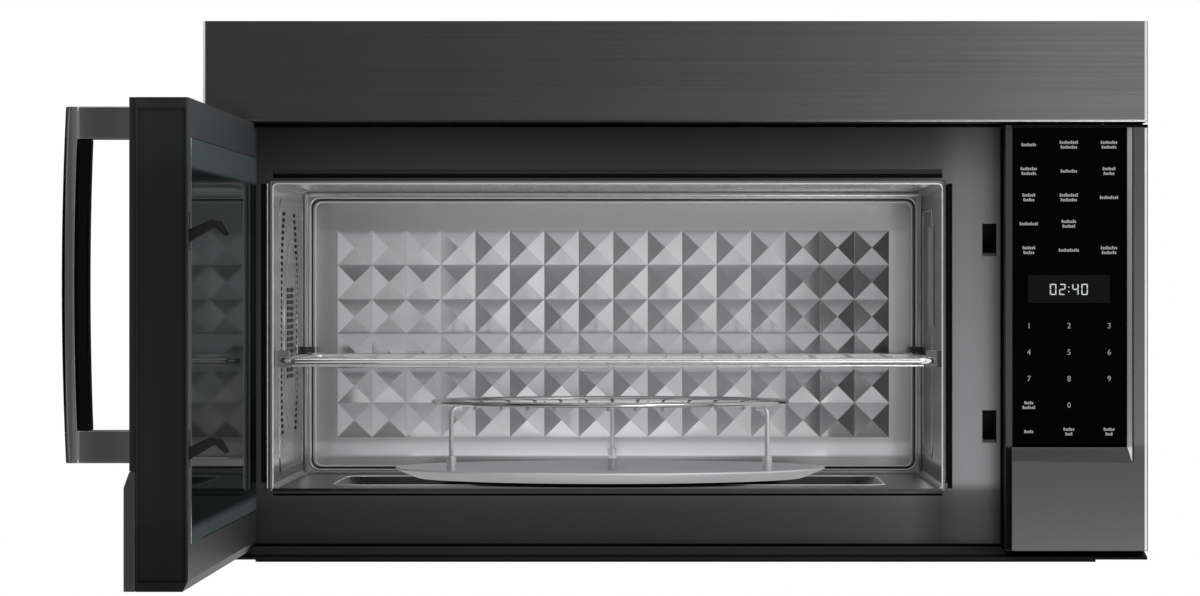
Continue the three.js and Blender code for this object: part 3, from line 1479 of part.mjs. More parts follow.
piece(generator, 'waveguide', waveguide(), zincSheet);
piece(generator, 'waveguide_cover', waveguideCover(), mica);
piece(generator, 'magnetron', magnetron(), castAluminium);
piece(generator, 'cooling_fan_housing', coolingFanHousing(), blackPlastic);
piece(generator, 'cooling_fan', coolingFan(), whitePlastic);
piece(generator, 'high_voltage_transformer', transformer(), copper);
piece(generator, 'latch_body', latchBody(), blackPlastic);

const ventilation = new THREE.Group();
microwave.add(ventilation);

piece(ventilation, 'vent_blower_housing', blowerHousing(), zincSheet);
piece(ventilation, 'vent_blower_rotor', blowerRotor(), blackPlastic);
piece(ventilation, 'convection_housing', convectionHousing(), zincSheet);
piece(ventilation, 'convection_heater', convectionHeater(), satinSteel);
piece(ventilation, 'convection_fan', convectionFan(), castAluminium);

const controls = new THREE.Group();
microwave.add(controls);

piece(controls, 'control_housing', controlHousing(), blackPlastic);
piece(controls, 'control_glass', controlGlass(), blackGlass);
piece(controls, 'control_skin', controlSkin(), blackSteel);
piece(controls, 'control_board', controlBoard(), circuitGreen);

const door = new THREE.Group();
door.position.set(hingeX, hingeY, 0);
door.rotation.z = -THREE.MathUtils.degToRad(DOOR_OPEN);
microwave.add(door);

piece(door, 'door_frame', doorFrame(), paintedFrame);
piece(door, 'door_outer_glass', doorOuterGlass(), blackGlass);
piece(door, 'door_outer_panel', doorOuterPanel(), blackSteel);
piece(door, 'door_inner_glass', doorInnerGlass(), clearGlass);
piece(door, 'door_screen', doorScreen(), frontSteel);
piece(door, 'handle_bar', handleBar(), blackSteel);
piece(door, 'handle_grip', handleGrip(), blackPlastic);
piece(door, 'latch_lever', latchLever(), blackPlastic);
piece(door, 'latch_spring', latchSpring(), satinSteel);

export default microwave;
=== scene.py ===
"""An over-the-range microwave oven with its door open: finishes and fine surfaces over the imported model."""

import math

import bmesh
import bpy
import numpy as np
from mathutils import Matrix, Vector


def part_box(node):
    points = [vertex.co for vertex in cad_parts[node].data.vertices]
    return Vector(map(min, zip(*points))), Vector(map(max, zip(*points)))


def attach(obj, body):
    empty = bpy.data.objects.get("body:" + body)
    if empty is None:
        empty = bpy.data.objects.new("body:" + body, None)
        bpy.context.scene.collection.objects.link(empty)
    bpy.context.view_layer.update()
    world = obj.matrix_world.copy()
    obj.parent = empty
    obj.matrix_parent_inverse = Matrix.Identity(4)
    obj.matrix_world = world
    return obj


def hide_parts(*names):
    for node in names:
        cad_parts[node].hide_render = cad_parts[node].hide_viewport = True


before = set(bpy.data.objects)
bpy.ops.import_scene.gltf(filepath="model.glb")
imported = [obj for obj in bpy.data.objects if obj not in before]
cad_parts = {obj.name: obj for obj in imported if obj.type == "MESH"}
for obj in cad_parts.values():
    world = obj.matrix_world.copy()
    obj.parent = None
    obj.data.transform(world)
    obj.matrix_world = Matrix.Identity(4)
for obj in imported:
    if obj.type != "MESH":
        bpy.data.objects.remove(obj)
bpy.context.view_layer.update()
MM = 0.001


# ---- Room, lens and lamps ------------------------------------------------------------------
# A white studio. The lens is long and stands almost five metres off, level with the middle of
# the unit, with the frame shifted a little so that the unit sits as it does in the photograph.

IMAGE_WIDTH = 1200
AXIS_PIXEL = (675.5, 290.5)  # where the lens axis meets the photograph
FRAME_CENTRE = (600, 298)
FOCAL_PIXELS = 5565
LENS_DISTANCE = 4.928
SENSOR_WIDTH = 36

camera_data = bpy.data.cameras.new("camera")
camera_data.sensor_width = SENSOR_WIDTH
camera_data.lens = SENSOR_WIDTH * FOCAL_PIXELS / IMAGE_WIDTH
camera_data.shift_x = (FRAME_CENTRE[0] - AXIS_PIXEL[0]) / IMAGE_WIDTH
camera_data.shift_y = (AXIS_PIXEL[1] - FRAME_CENTRE[1]) / IMAGE_WIDTH
camera = bpy.data.objects.new("camera", camera_data)
camera.location = (0, -LENS_DISTANCE, 0)
camera.rotation_euler = (math.pi / 2, 0, 0)
bpy.context.scene.collection.objects.link(camera)
bpy.context.scene.camera = camera
bpy.context.scene.view_settings.view_transform = "Standard"


def lamp(name, place, target, size, watts):
    """A soft square lamp at a place, turned to face a target."""
    data = bpy.data.lights.new(name, "AREA")
    data.shape = "RECTANGLE"
    data.size, data.size_y = size
    data.energy = watts
    light = bpy.data.objects.new(name, data)
    light.location = place
    aim = Vector(target) - Vector(place)
    light.rotation_euler = aim.to_track_quat("-Z", "Y").to_euler()
    bpy.context.scene.collection.objects.link(light)
    return light


# Each lamp of the studio has its place, its target, its two sizes and its watts.
STUDIO_LAMPS = {
    "key_lamp": ((1.5, -2.3, 1.0), (0.2, -0.4, 0), (1.2, 1.2), 18),
    "fill_lamp": ((-1.9, -2.6, 0.2), (-0.1, -0.3, 0), (1.0, 1.6), 5),
    "top_lamp": ((0.0, -0.9, 2.2), (0, -0.3, 0), (2.2, 1.4), 16),
    "mouth_lamp": ((0.5, -2.0, -0.6), (-0.05, -0.1, -0.02), (0.7, 0.4), 6.7),
}
for name, (place, target, size, watts) in STUDIO_LAMPS.items():
    lamp(name, place, target, size, watts)
# Soft boxes just inside the cavity's own sheets: each slope of a pressed pyramid mirrors one.
# Each has its middle, the way it faces, its two sizes and its watts.
LEFTWARD, RIGHTWARD, INWARD, DOWNWARD, UPWARD = (-1, 0, 0), (1, 0, 0), (0, 1, 0), (0, 0, -1), (0, 0, 1)
INNER_BOXES = {
    "right_box": ((0.213, -0.262, -0.037), LEFTWARD, (0.284, 0.22), 0.14),
    "right_front_box": ((0.2125, -0.365, -0.037), LEFTWARD, (0.09, 0.22), 0.016),
    "left_box": ((-0.323, -0.0865, -0.037), RIGHTWARD, (0.093, 0.22), 0.027),
    "roof_box": ((-0.055, -0.297, 0.0835), DOWNWARD, (0.52, 0.21), 0.11),
    "roof_middle_box": ((-0.055, -0.148, 0.0835), DOWNWARD, (0.52, 0.05), 0.038),
    "roof_back_box": ((-0.055, -0.069, 0.0835), DOWNWARD, (0.5, 0.02), 0.0115),
    "floor_box": ((-0.055, -0.205, -0.146), UPWARD, (0.52, 0.17), 0.13),
    "floor_corner_box": ((-0.055, -0.07, -0.1465), UPWARD, (0.52, 0.05), 0.018),
    "floor_back_box": ((-0.05, -0.07, -0.146), UPWARD, (0.37, 0.05), 0.032),
    "floor_right_box": ((0.165, -0.082, -0.146), UPWARD, (0.08, 0.03), 0.0045),
    "floor_left_box": ((-0.262, -0.082, -0.146), UPWARD, (0.05, 0.03), 0.003),
    "tray_box": ((-0.055, -0.305, -0.158), UPWARD, (0.39, 0.2), 0.11),
}
for name, (place, facing, size, watts) in INNER_BOXES.items():
    inner_lamp = lamp(name, place, np.where(facing, facing, place), size, watts)
    inner_lamp.visible_camera = False


def linear(colour):
    """An sRGB hex colour as linear values: a straight foot, then a power of 2.4."""
    level = np.array([int(colour[at : at + 2], 16) for at in (1, 3, 5)]) / 255
    return tuple(np.where(level <= 0.04045, level / 12.92, ((level + 0.055) / 1.055) ** 2.4).tolist())


def add_node(tree, kind, settings=(), links=()):
    """Adds a node: settings are its properties and loose sockets, links its joined sockets."""
    node = tree.nodes.new("ShaderNode" + kind)
    for key, value in dict(settings).items():
        if isinstance(key, str) and hasattr(node, key):
            setattr(node, key, value)
        else:
            node.inputs[key].default_value = value
    for key, source in dict(links).items():
        tree.links.new(source, node.inputs[key])
    return node


def set_shader(material, values):
    """Sets sockets of a finish's shader."""
    for key, value in values.items():
        material.node_tree.nodes["Principled BSDF"].inputs[key].default_value = value


# The room is pale for the camera and for mirrors, and dims behind the lens, where a dark
# curtain hangs; matt surfaces get an even half light from it.
ROOM_GREY = "#c4c4c4"
world = bpy.data.worlds.new("studio")
bpy.context.scene.world = world
world.use_nodes = True
sky = world.node_tree
sky.nodes.clear()
rays = add_node(sky, "LightPath").outputs
toward = add_node(sky, "TexCoord").outputs["Generated"]
split = add_node(sky, "SeparateXYZ", links={0: toward})
curtain = {"From Min": -0.75, "From Max": -0.15, "To Min": 0.36, "To Max": 1.0}
behind_lens = add_node(sky, "MapRange", curtain, {"Value": split.outputs["Y"]}).outputs["Result"]
room = add_node(sky, "Background", {"Color": (*linear(ROOM_GREY), 1)})
mirrored = add_node(sky, "Background", {"Color": (1, 1, 1, 1)}, {"Strength": behind_lens})
white = add_node(sky, "Background", {"Color": (1, 1, 1, 1)})
sharp_rays = {0: rays["Is Glossy Ray"], 1: rays["Is Transmission Ray"]}
mirror_rays = add_node(sky, "Math", {"operation": "MAXIMUM"}, sharp_rays).outputs[0]
to_mirror = add_node(sky, "MixShader", links={0: mirror_rays, 1: room.outputs[0], 2: mirrored.outputs[0]})
to_white = add_node(
    sky, "MixShader", links={0: rays["Is Camera Ray"], 1: to_mirror.outputs[0], 2: white.outputs[0]}
)
add_node(sky, "OutputWorld", links={"Surface": to_white.outputs[0]})

FLOOR_Z = -1.15
FLOOR_HALF_WIDTH = 3
FLOOR_Y = (-3.5, 1.5)
floor_corners = [(side * FLOOR_HALF_WIDTH, y) for y, side in zip(np.repeat(FLOOR_Y, 2), (-1, 1, 1, -1))]
floor_mesh = bpy.data.meshes.new("studio_floor")
floor_mesh.from_pydata([(x, y, FLOOR_Z) for x, y in floor_corners], [], [(0, 1, 2, 3)])
floor = bpy.data.objects.new("studio_floor", floor_mesh)
bpy.context.scene.collection.objects.link(floor)
floor_paint = bpy.data.materials.new("studio_floor")
floor_paint.use_nodes = True
set_shader(floor_paint, {"Base Color": (*linear("#eeeeee"), 1), "Roughness": 0.9})
floor_mesh.materials.append(floor_paint)


# ---- Case sheets and wall plate ------------------------------------------------------------
# Galvanised back, top and wall plate, and painted sides and pan. They are folded from thin
# sheet, so their zinc shows a faint spangle and their paint a fine orange peel.

NOISE = {"Scale": 1, "Detail": 4, "Roughness": 0.6}
MIDDLE_HALF = {"From Min": 0.25, "From Max": 0.75}  # where most of the noise lies
RELIEF = 0.2 * MM
DOUBLE = 1e-6  # points nearer than this are one
FLAT_ANGLE = 0.5
SHARP_ANGLE = 35


def surface_finish(
    name, colour, metallic, roughness, grain, shade=0, wander=0, bump=0, specular=0.5, centre=None, ramps=()
):
    """A finish whose colour, roughness and bump follow one drawn-out noise on Object coordinates.

    grain is the noise's size in millimetres, or its sizes along X, Y and Z. Real brush lines and
    grits are near 0.1 mm and would not show at this distance, so they are drawn about ten times
    as coarse. shade is how far the noise changes the colour, wander how far it changes the
    roughness. ramps holds (axis, [(metres, factor), ...]) and shades the colour along each axis:
    painted light and shade.
    With a centre, the grain follows the distance from the upright line there: turned rings."""
    material = bpy.data.materials.new(name)
    material.use_nodes = True
    tree = material.node_tree
    shader = tree.nodes["Principled BSDF"]
    set_shader(material, {"Metallic": metallic, "Roughness": roughness, "Specular IOR Level": specular})
    place = add_node(tree, "TexCoord").outputs["Object"]
    vector = place
    if centre:
        middle = add_node(tree, "VectorMath", {"operation": "SUBTRACT", 1: centre}, {0: place})
        flat = add_node(tree, "VectorMath", {"operation": "MULTIPLY", 1: (1, 1, 0)}, {0: middle.outputs[0]})
        vector = add_node(tree, "VectorMath", {"operation": "LENGTH"}, {0: flat.outputs[0]}).outputs["Value"]
    per_metre = tuple(1000 / np.broadcast_to(grain, 3))
    mapping = add_node(tree, "Mapping", {"Scale": per_metre}, {"Vector": vector})
    noise = add_node(tree, "TexNoise", NOISE, {"Vector": mapping.outputs[0]}).outputs["Fac"]
    tint = {**MIDDLE_HALF, "To Min": 1 - shade, "To Max": 1 + shade}
    factor = add_node(tree, "MapRange", tint, {"Value": noise}).outputs["Result"]
    parts = add_node(tree, "SeparateXYZ", links={0: place})
    for axis, stops in ramps:
        low, high = stops[0][0], stops[-1][0]
        top = max(value for _, value in stops)
        span = add_node(tree, "MapRange", {"From Min": low, "From Max": high}, {"Value": parts.outputs[axis]})
        curve = add_node(tree, "FloatCurve", links={"Value": span.outputs["Result"]})
        points = curve.mapping.curves[0].points
        for index, (where, value) in enumerate(stops):
            spot = ((where - low) / (high - low), value / top)
            if index in (0, len(stops) - 1):
                points[0 if index == 0 else -1].location = spot
            else:
                points.new(*spot)
        curve.mapping.update()
        along = add_node(tree, "Math", {"operation": "MULTIPLY", 1: top}, {0: curve.outputs[0]})
        both = add_node(tree, "Math", {"operation": "MULTIPLY"}, {0: factor, 1: along.outputs[0]})
        factor = both.outputs[0]
    coat = {"operation": "SCALE", "name": "coat", 0: linear(colour)}
    paint = add_node(tree, "VectorMath", coat, {"Scale": factor})
    tree.links.new(paint.outputs[0], shader.inputs["Base Color"])
    if wander:
        spread = {**MIDDLE_HALF, "To Min": roughness - wander, "To Max": roughness + wander}
        rough = add_node(tree, "MapRange", spread, {"Value": noise})
        tree.links.new(rough.outputs["Result"], shader.inputs["Roughness"])
    if bump:
        relief = add_node(tree, "Bump", {"Strength": bump, "Distance": RELIEF}, {"Height": noise})
        tree.links.new(relief.outputs[0], shader.inputs["Normal"])
    return material


def dress(material, *names):
    """Gives CAD nodes a finish in place of the plain one they were packed with."""
    for name in names:
        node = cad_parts[name]
        node.data.materials.clear()
        node.data.materials.append(material)


def ease_edges(piece, name, width, segments, angle):
    """Rounds the edges that turn by more than an angle."""
    ease = piece.modifiers.new(name, "BEVEL")
    ease.width = width
    ease.segments = segments
    ease.limit_method = "ANGLE"
    ease.angle_limit = math.radians(angle)


def fit_piece(name, mesh, material, body, stands_for=()):
    """Puts a finished mesh in the scene, on its CAD body."""
    mesh.materials.clear()
    mesh.materials.append(material)
    piece = bpy.data.objects.new(name, mesh)
    bpy.context.scene.collection.objects.link(piece)
    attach(piece, body)
    if stands_for:
        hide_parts(*stands_for)
    return piece


def softened(node, material, width, body="case", segments=2):
    """A copy of a CAD node with its doubles merged and its edges eased, which replaces it."""
    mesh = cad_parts[node].data.copy()
    mesh.name = node + "_eased"
    shape = bmesh.new()
    shape.from_mesh(mesh)
    bmesh.ops.remove_doubles(shape, verts=shape.verts, dist=2 * DOUBLE)
    flat = math.radians(FLAT_ANGLE)
    bmesh.ops.dissolve_limit(
        shape, angle_limit=flat, verts=shape.verts, edges=shape.edges, delimit={"NORMAL"}
    )
    shape.to_mesh(mesh)
    shape.free()
    piece = fit_piece(node + "_eased", mesh, material, body, [node])
    ease_edges(piece, "eased_edges", width, segments, SHARP_ANGLE)


# Hot-dip galvanised steel: pale grey with a soft spangle, large and faint.
galvanised = surface_finish(
    "galvanised_sheet", "#c5c8ca", 0.85, 0.42, 22, shade=0.09, wander=0.08, bump=0.15
)
# Powder coat on steel: near black and half matt, with a fine orange peel.
case_paint = surface_finish("case_paint", "#3c3d3e", 0, 0.42, 1.1, shade=0.05, wander=0.04, bump=0.25)
dress(galvanised, "wall_plate", "back_panel", "top_panel", "hinge_bracket_upper", "hinge_bracket_lower")
dress(case_paint, "side_panel_left", "side_panel_right")
# Black heat-proof enamel: very dark, with hardly any gloss.
pan_paint = surface_finish(
    "pan_paint", "#0d0d0d", 0, 0.5, 1.1, shade=0.05, wander=0.04, bump=0.2, specular=0.08
)
dress(pan_paint, "base_pan")


# ---- Fascia and steel bands ----------------------------------------------------------------
# Black stainless steel, brushed along the unit's width. The sheet is folded, so its edges are small
# radii; a painted highlight runs along its lower fold, and pale painted highlights stand on its side edges.

BLACK_STEEL = "#525253"
BRUSH_ACROSS = (310, 1.1, 1.1)

# Black stainless, brushed sideways: a dark, drawn-out mirror, with painted light that grows to the right and
# a painted shadow line along its foot.
brushed_black = surface_finish(
    "brushed_black_steel", BLACK_STEEL, 1, 0.36, BRUSH_ACROSS, shade=0.035, wander=0.04, bump=0.08,
    ramps=[
        ("X", [(-0.38, 0.9), (-0.06, 1.15), (0.2, 1.85), (0.34, 2.45), (0.38, 2.45)]),
        ("Z", [(0.1354, 0.06), (0.1362, 1.0), (0.17, 1.0), (0.217, 1.0)]),
    ],
)
# The same steel on the narrow panel surround, too short for its brush lines to show; painted shade darkens it
# below the glass.
band_steel = surface_finish(
    "brushed_band_steel", "#5d5d5e", 1, 0.36, 2, shade=0.06, wander=0.05, bump=0.12,
    ramps=[("Z", [(-0.2094, 0.70), (-0.13, 0.62), (-0.12, 1.0), (0.1334, 0.95)])],
)
# The same steel on the outer face of the door, brushed along its width.
door_band_steel = surface_finish(
    "brushed_door_steel", BLACK_STEEL, 1, 0.36, (1.1, 310, 1.1), shade=0.07, wander=0.05, bump=0.1
)
softened("top_fascia", brushed_black, 0.7 * MM, segments=3)
softened("control_skin", band_steel, 0.5 * MM)
softened("door_outer_panel", door_band_steel, 0.6 * MM, "door", segments=3)


def shade_smooth(mesh, sharp):
    """Smooth faces, with edges kept sharp where they turn by more than an angle."""
    mesh.polygons.foreach_set("use_smooth", np.ones(len(mesh.polygons), bool))
    mesh.set_sharp_from_angle(angle=math.radians(sharp))
    return mesh


def tidy_mesh(mesh, fill=False, sharp=SHARP_ANGLE):
    """Merges doubles, closes open ends where asked, and points every face outwards."""
    shape = bmesh.new()
    shape.from_mesh(mesh)
    bmesh.ops.remove_doubles(shape, verts=shape.verts, dist=DOUBLE)
    if fill:
        bmesh.ops.holes_fill(shape, edges=[edge for edge in shape.edges if edge.is_boundary])
    bmesh.ops.recalc_face_normals(shape, faces=shape.faces)
    shape.to_mesh(mesh)
    shape.free()
    return shade_smooth(mesh, sharp)


def solid_mesh(name, points, faces, fill=False, sharp=SHARP_ANGLE):
    """A clean mesh from arrays of points and faces."""
    mesh = bpy.data.meshes.new(name)
    mesh.from_pydata(points.reshape(-1, 3).tolist(), [], faces.tolist())
    return tidy_mesh(mesh, fill, sharp)


def grid_mesh(name, grid, wrap_u=False, wrap_v=False, fill=False, sharp=SHARP_ANGLE):
    """A mesh through a grid of points: each cell of four neighbours is a face.

    wrap_u and wrap_v join the last row or column to the first, fill closes what is left open.
    Doubles are merged, so a row that meets in one point closes to a pole."""
    rows, columns = grid.shape[:2]
    index = np.arange(rows * columns).reshape(rows, columns)
    near = index if wrap_u else index[:-1]
    down = np.roll(index, -1, axis=0) if wrap_u else index[1:]
    last = columns if wrap_v else columns - 1
    near_next, down_next = np.roll(near, -1, axis=1), np.roll(down, -1, axis=1)
    corners = [near[:, :last], near_next[:, :last], down_next[:, :last], down[:, :last]]
    faces = np.stack(corners, axis=-1).reshape(-1, 4)
    return solid_mesh(name, grid, faces, fill, sharp)


def units(vectors):
    """Each vector at length one."""
    return vectors / np.linalg.norm(vectors, axis=-1, keepdims=True)


def turns(steps):
    """Angles evenly round a circle."""
    return np.linspace(0, 2 * np.pi, steps, endpoint=False)


def tube(name, path, radius, side, closed=False, sides=12):
    """A round tube along a path that lies in one plane, whose normal is side.

    Each ring is centre + radius * (cos a * side + sin a * (side x tangent))."""
    path = np.asarray(path, float)
    ahead = np.roll(path, -1, axis=0) - np.roll(path, 1, axis=0) if closed else np.gradient(path, axis=0)
    side = units(np.asarray(side, float))[None]
    other = np.cross(side, units(ahead))
    angle = turns(sides)[None, :, None]
    grid = path[:, None] + radius * (np.cos(angle) * side[:, None] + np.sin(angle) * other[:, None])
    return grid_mesh(name, grid, wrap_u=closed, wrap_v=True, fill=not closed)


def joined(name, meshes, sharp=SHARP_ANGLE):
    """One mesh that holds several."""
    shape = bmesh.new()
    for mesh in meshes:
        shape.from_mesh(mesh)
        bpy.data.meshes.remove(mesh)
    whole = bpy.data.meshes.new(name)
    shape.to_mesh(whole)
    shape.free()
    return shade_smooth(whole, sharp)


def fit_joined(name, meshes, material, body, stands_for=(), sharp=SHARP_ANGLE):
    """Several meshes as one piece of the scene."""
    return fit_piece(name, joined(name, meshes, sharp), material, body, stands_for)


# The thin strips below carry painted shade and painted highlights.
FILM = 0.1 * MM  # thickness of a strip that only carries a tone
STAND = 0.15 * MM  # how far such a strip stands off the sheet under it


def flat_bars(name, bars, y, thick):
    """Thin upright plates: each bar is (x low, x high, z low, z high), all in one array."""
    bars = np.asarray(bars, float)
    x = bars[:, [0, 1, 1, 0, 0, 1, 1, 0]]
    z = bars[:, [2, 2, 3, 3, 2, 2, 3, 3]]
    depth_y = np.array([y] * 4 + [y + thick] * 4)
    points = np.stack([x, np.broadcast_to(depth_y, x.shape), z], axis=-1)
    sides = np.array([[0, 1, 2, 3], [5, 4, 7, 6], [4, 5, 1, 0], [6, 7, 3, 2], [5, 6, 2, 1], [7, 4, 0, 3]])
    faces = (8 * np.arange(len(bars))[:, None, None] + sides[None]).reshape(-1, 4)
    return solid_mesh(name, points, faces)


def fit_bars(name, bars, y, thick, material, body="case"):
    """The same plates as one piece of the scene."""
    fit_piece(name, flat_bars(name, bars, y, thick), material, body)


fascia_low, fascia_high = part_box("top_fascia")
skin_low, skin_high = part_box("control_skin")
# Painted highlight where the sheet turns round its side edges: a thin pale line.
edge_highlight = surface_finish("edge_highlight", "#d7d7d7", 0.1, 0.5, (1.1, 1.1, 200), shade=0.03, wander=0.05)
# Stainless rolled over a fold: one bright line, a painted highlight that grows to the right.
fold_edge = surface_finish(
    "fold_edge", "#959595", 1, 0.3, BRUSH_ACROSS, shade=0.05, wander=0.05, bump=0.05,
    ramps=[("X", [(-0.38, 0.2), (0.1, 0.3), (0.2, 0.9), (0.38, 1.9)])],
)
PANEL_TOP_SHADOW = 2.4 * MM
STRIP_END = 0.4 * MM
LEFT_STRIP = (0.2 * MM, 1.7 * MM)
RIGHT_STRIP = (2.6 * MM, 0.8 * MM)
side_highlights = [
    (fascia_high.x - RIGHT_STRIP[0], fascia_high.x - RIGHT_STRIP[1], low + STRIP_END, high - STRIP_END)
    for low, high in ((fascia_low.z, fascia_high.z), (skin_low.z, skin_high.z - PANEL_TOP_SHADOW))
]
left_strip = [fascia_low.x + reach for reach in LEFT_STRIP]
side_highlights.append((*left_strip, fascia_low.z + STRIP_END, fascia_high.z))
fit_bars("side_edge_highlights", side_highlights, fascia_low.y - FILM / 2, FILM, edge_highlight)
FOLD_RADIUS = 1.0 * MM
FOLD_SUNK = 0.6 * MM
fold_y, fold_z = fascia_low.y + FOLD_SUNK, fascia_low.z + FOLD_RADIUS
fold_path = [(fascia_low.x + STRIP_END, fold_y, fold_z), (fascia_high.x - RIGHT_STRIP[1], fold_y, fold_z)]
fold_bead = tube("fascia_fold", fold_path, FOLD_RADIUS, UPWARD, sides=24)
fit_piece("fascia_fold", fold_bead, fold_edge, "case")

# ABS, moulded with a fine grain: black with a soft, broad sheen.
moulded_black = surface_finish("moulded_black", "#19191b", 0, 0.45, 0.7, shade=0.1, wander=0.06, bump=0.3)
softened("exhaust_grille", moulded_black, 0.3 * MM)
# ABS with a matt grain: a charcoal band over a black painted shadow, a thin painted highlight on its lower
# edge and a dark foot; near black under the control panel.
trim_satin = surface_finish(
    "trim_satin", "#2b2b2b", 0, 0.6, 1.1, shade=0.05, bump=0.1, specular=0.1,
    ramps=[
        ("X", [(-0.3795, 1.0), (0.266, 1.0), (0.272, 0.1), (0.3795, 0.1)]),
        ("Z", [
            (-0.2165, 0.12), (-0.2160, 0.35), (-0.2151, 0.35), (-0.2148, 0.06), (-0.2131, 0.06),
            (-0.2127, 1.0), (-0.2078, 1.0),
        ]),
    ],
)
softened("base_trim", trim_satin, 0.4 * MM)
softened("control_housing", moulded_black, 0.4 * MM)
dress(moulded_black, "rack_support_rear_left", "rack_support_rear_right", "cooling_fan_housing")
dress(moulded_black, "vent_blower_rotor")


# ---- Front plate ---------------------------------------------------------------------------
# Dark satin sheet that frames the oven mouth. It is pressed with grooves round the mouth, whose
# shade is painted black on thin bars, and pierced by the two latch slots. Its left groove has a bright lip.

# Black-coated steel sheet, satin: dull, with painted light beside the panel and painted shade near its rims.
plate_satin = surface_finish(
    "front_plate_satin", "#424243", 0.9, 0.4, 1.4, shade=0.05, wander=0.05, bump=0.1,
    ramps=[
        ("X", [
            (-0.378, 1.1), (-0.28, 1.3), (0.1, 1.15), (0.2, 1.7), (0.222, 2.8), (0.245, 3.6),
            (0.262, 2.1), (0.378, 1.0),
        ]),
        ("Z", [(-0.2055, 0.5), (-0.175, 0.66), (-0.155, 1.0), (0.07, 1.0), (0.11, 0.66), (0.1326, 0.45)]),
    ],
)


def shade_corner(material, x_span, z_span, factor):
    """Paints shade into a finish where x and z both leave their spans at the far end: soft borders."""
    tree = material.node_tree
    paint = tree.nodes["coat"]
    before = paint.inputs["Scale"].links[0].from_socket
    place = add_node(tree, "TexCoord").outputs["Object"]
    parts = add_node(tree, "SeparateXYZ", links={0: place})
    past = [
        add_node(tree, "MapRange", {"From Min": start, "From Max": end}, {"Value": parts.outputs[axis]})
        for axis, (start, end) in (("X", x_span), ("Z", z_span))
    ]
    product = {"operation": "MULTIPLY"}
    corner = add_node(tree, "Math", product, {at: node.outputs["Result"] for at, node in enumerate(past)})
    level = add_node(tree, "MapRange", {"To Min": 1, "To Max": factor}, {"Value": corner.outputs[0]})
    total = add_node(tree, "Math", product, {0: before, 1: level.outputs["Result"]})
    tree.links.new(total.outputs[0], paint.inputs["Scale"])


# Painted shade on the plate's lower right corner.
shade_corner(plate_satin, (0.19, 0.215), (-0.155, -0.163), 0.36)
softened("front_plate", plate_satin, 0.35 * MM)
BACK_SHEET = 2 * MM
plate_low, plate_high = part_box("front_plate")
wall_low, wall_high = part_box("cavity_left_wall")
right_low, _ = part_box("cavity_right_wall")
roof_low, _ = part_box("cavity_roof")
_, floor_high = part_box("cavity_floor")
back_low, back_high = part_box("cavity_back_wall")
cavity_left, cavity_right = wall_high.x, right_low.x
cavity_bottom, cavity_top = floor_high.z, roof_low.z
cavity_back = back_high.y - BACK_SHEET
cavity_front = wall_low.y
cavity_mid_x = (cavity_left + cavity_right) / 2
cavity_mid_z = (cavity_bottom + cavity_top) / 2

# How far each groove and strip begins and ends from the mouth's edge.
RIGHT_GROOVE = (4.2 * MM, 7.8 * MM)
UPPER_GROOVE = (4.7 * MM, 7.8 * MM)
UPPER_SLOPE = (7.9 * MM, 11.6 * MM)
LOWER_GROOVE = (-5.8 * MM, -4.2 * MM)
LEFT_GROOVE_SHADE = (-9.4 * MM, -5.2 * MM)
RIGHT_GROOVE_SHADE = (2.7 * MM, 6.8 * MM)
GROOVE_SHADE_THICK = 1.1 * MM
GROOVE_SHADE_FEET = (4.6 * MM, 4.2 * MM)
GROOVE_SHADE_HEAD = 0.8 * MM
SILL_INSET = 2 * MM
SILL_BACK = 0.3 * MM
SILL_SPAN = (-4 * MM, 1 * MM)
PANEL_GAP = 1.9 * MM
PANEL_GAP_END = 1 * MM
GROOVE_DEEP = 1.0 * MM
EASE = 0.2 * MM
mouth_x = (cavity_left + EASE, cavity_right - EASE)
# Painted shade: matt black with no shine, on thin bars in the pressed grooves, gaps and slots.
shade_black = surface_finish("shade_black", "#070707", 0, 0.7, 3.3, shade=0.2, specular=0.05)
# Painted shade, one step darker than the plate: where the sheet slopes into the upper groove, and between the
# back bead's rings.
shade_grey = surface_finish("shade_grey", "#282828", 0.2, 0.5, 1.4, shade=0.05, specular=0.2)
# Bent lip of the coated sheet inside a latch slot: a dull dark line.
slot_lip_steel = surface_finish("slot_lip_steel", "#353535", 0.2, 0.5, 3.3, shade=0.1)
# A black bar behind the plate's foot: painted shade in the gap under the plate.
sill_gap = [(plate_low.x + SILL_INSET, skin_low.x, *(plate_low.z + np.array(SILL_SPAN)))]
fit_bars("sill_gap", sill_gap, plate_high.y + SILL_BACK, FILM, shade_black)
# A grey bar on the plate: painted shade on the slope into the upper groove.
slope_bar = [(*mouth_x, *(cavity_top + np.array(UPPER_SLOPE)))]
fit_bars("groove_slope", slope_bar, plate_low.y - FILM, 2 * FILM, shade_grey)
# Black bars on the floors of the grooves: painted shade.
groove_bars = [
    (*(cavity_right + np.array(RIGHT_GROOVE)), cavity_bottom + EASE, cavity_top - EASE),
    (*mouth_x, *(cavity_top + np.array(UPPER_GROOVE))),
    (*mouth_x, *(cavity_bottom + np.array(LOWER_GROOVE))),
]
fit_bars("groove_floors", groove_bars, plate_low.y + GROOVE_DEEP, FILM, shade_black)
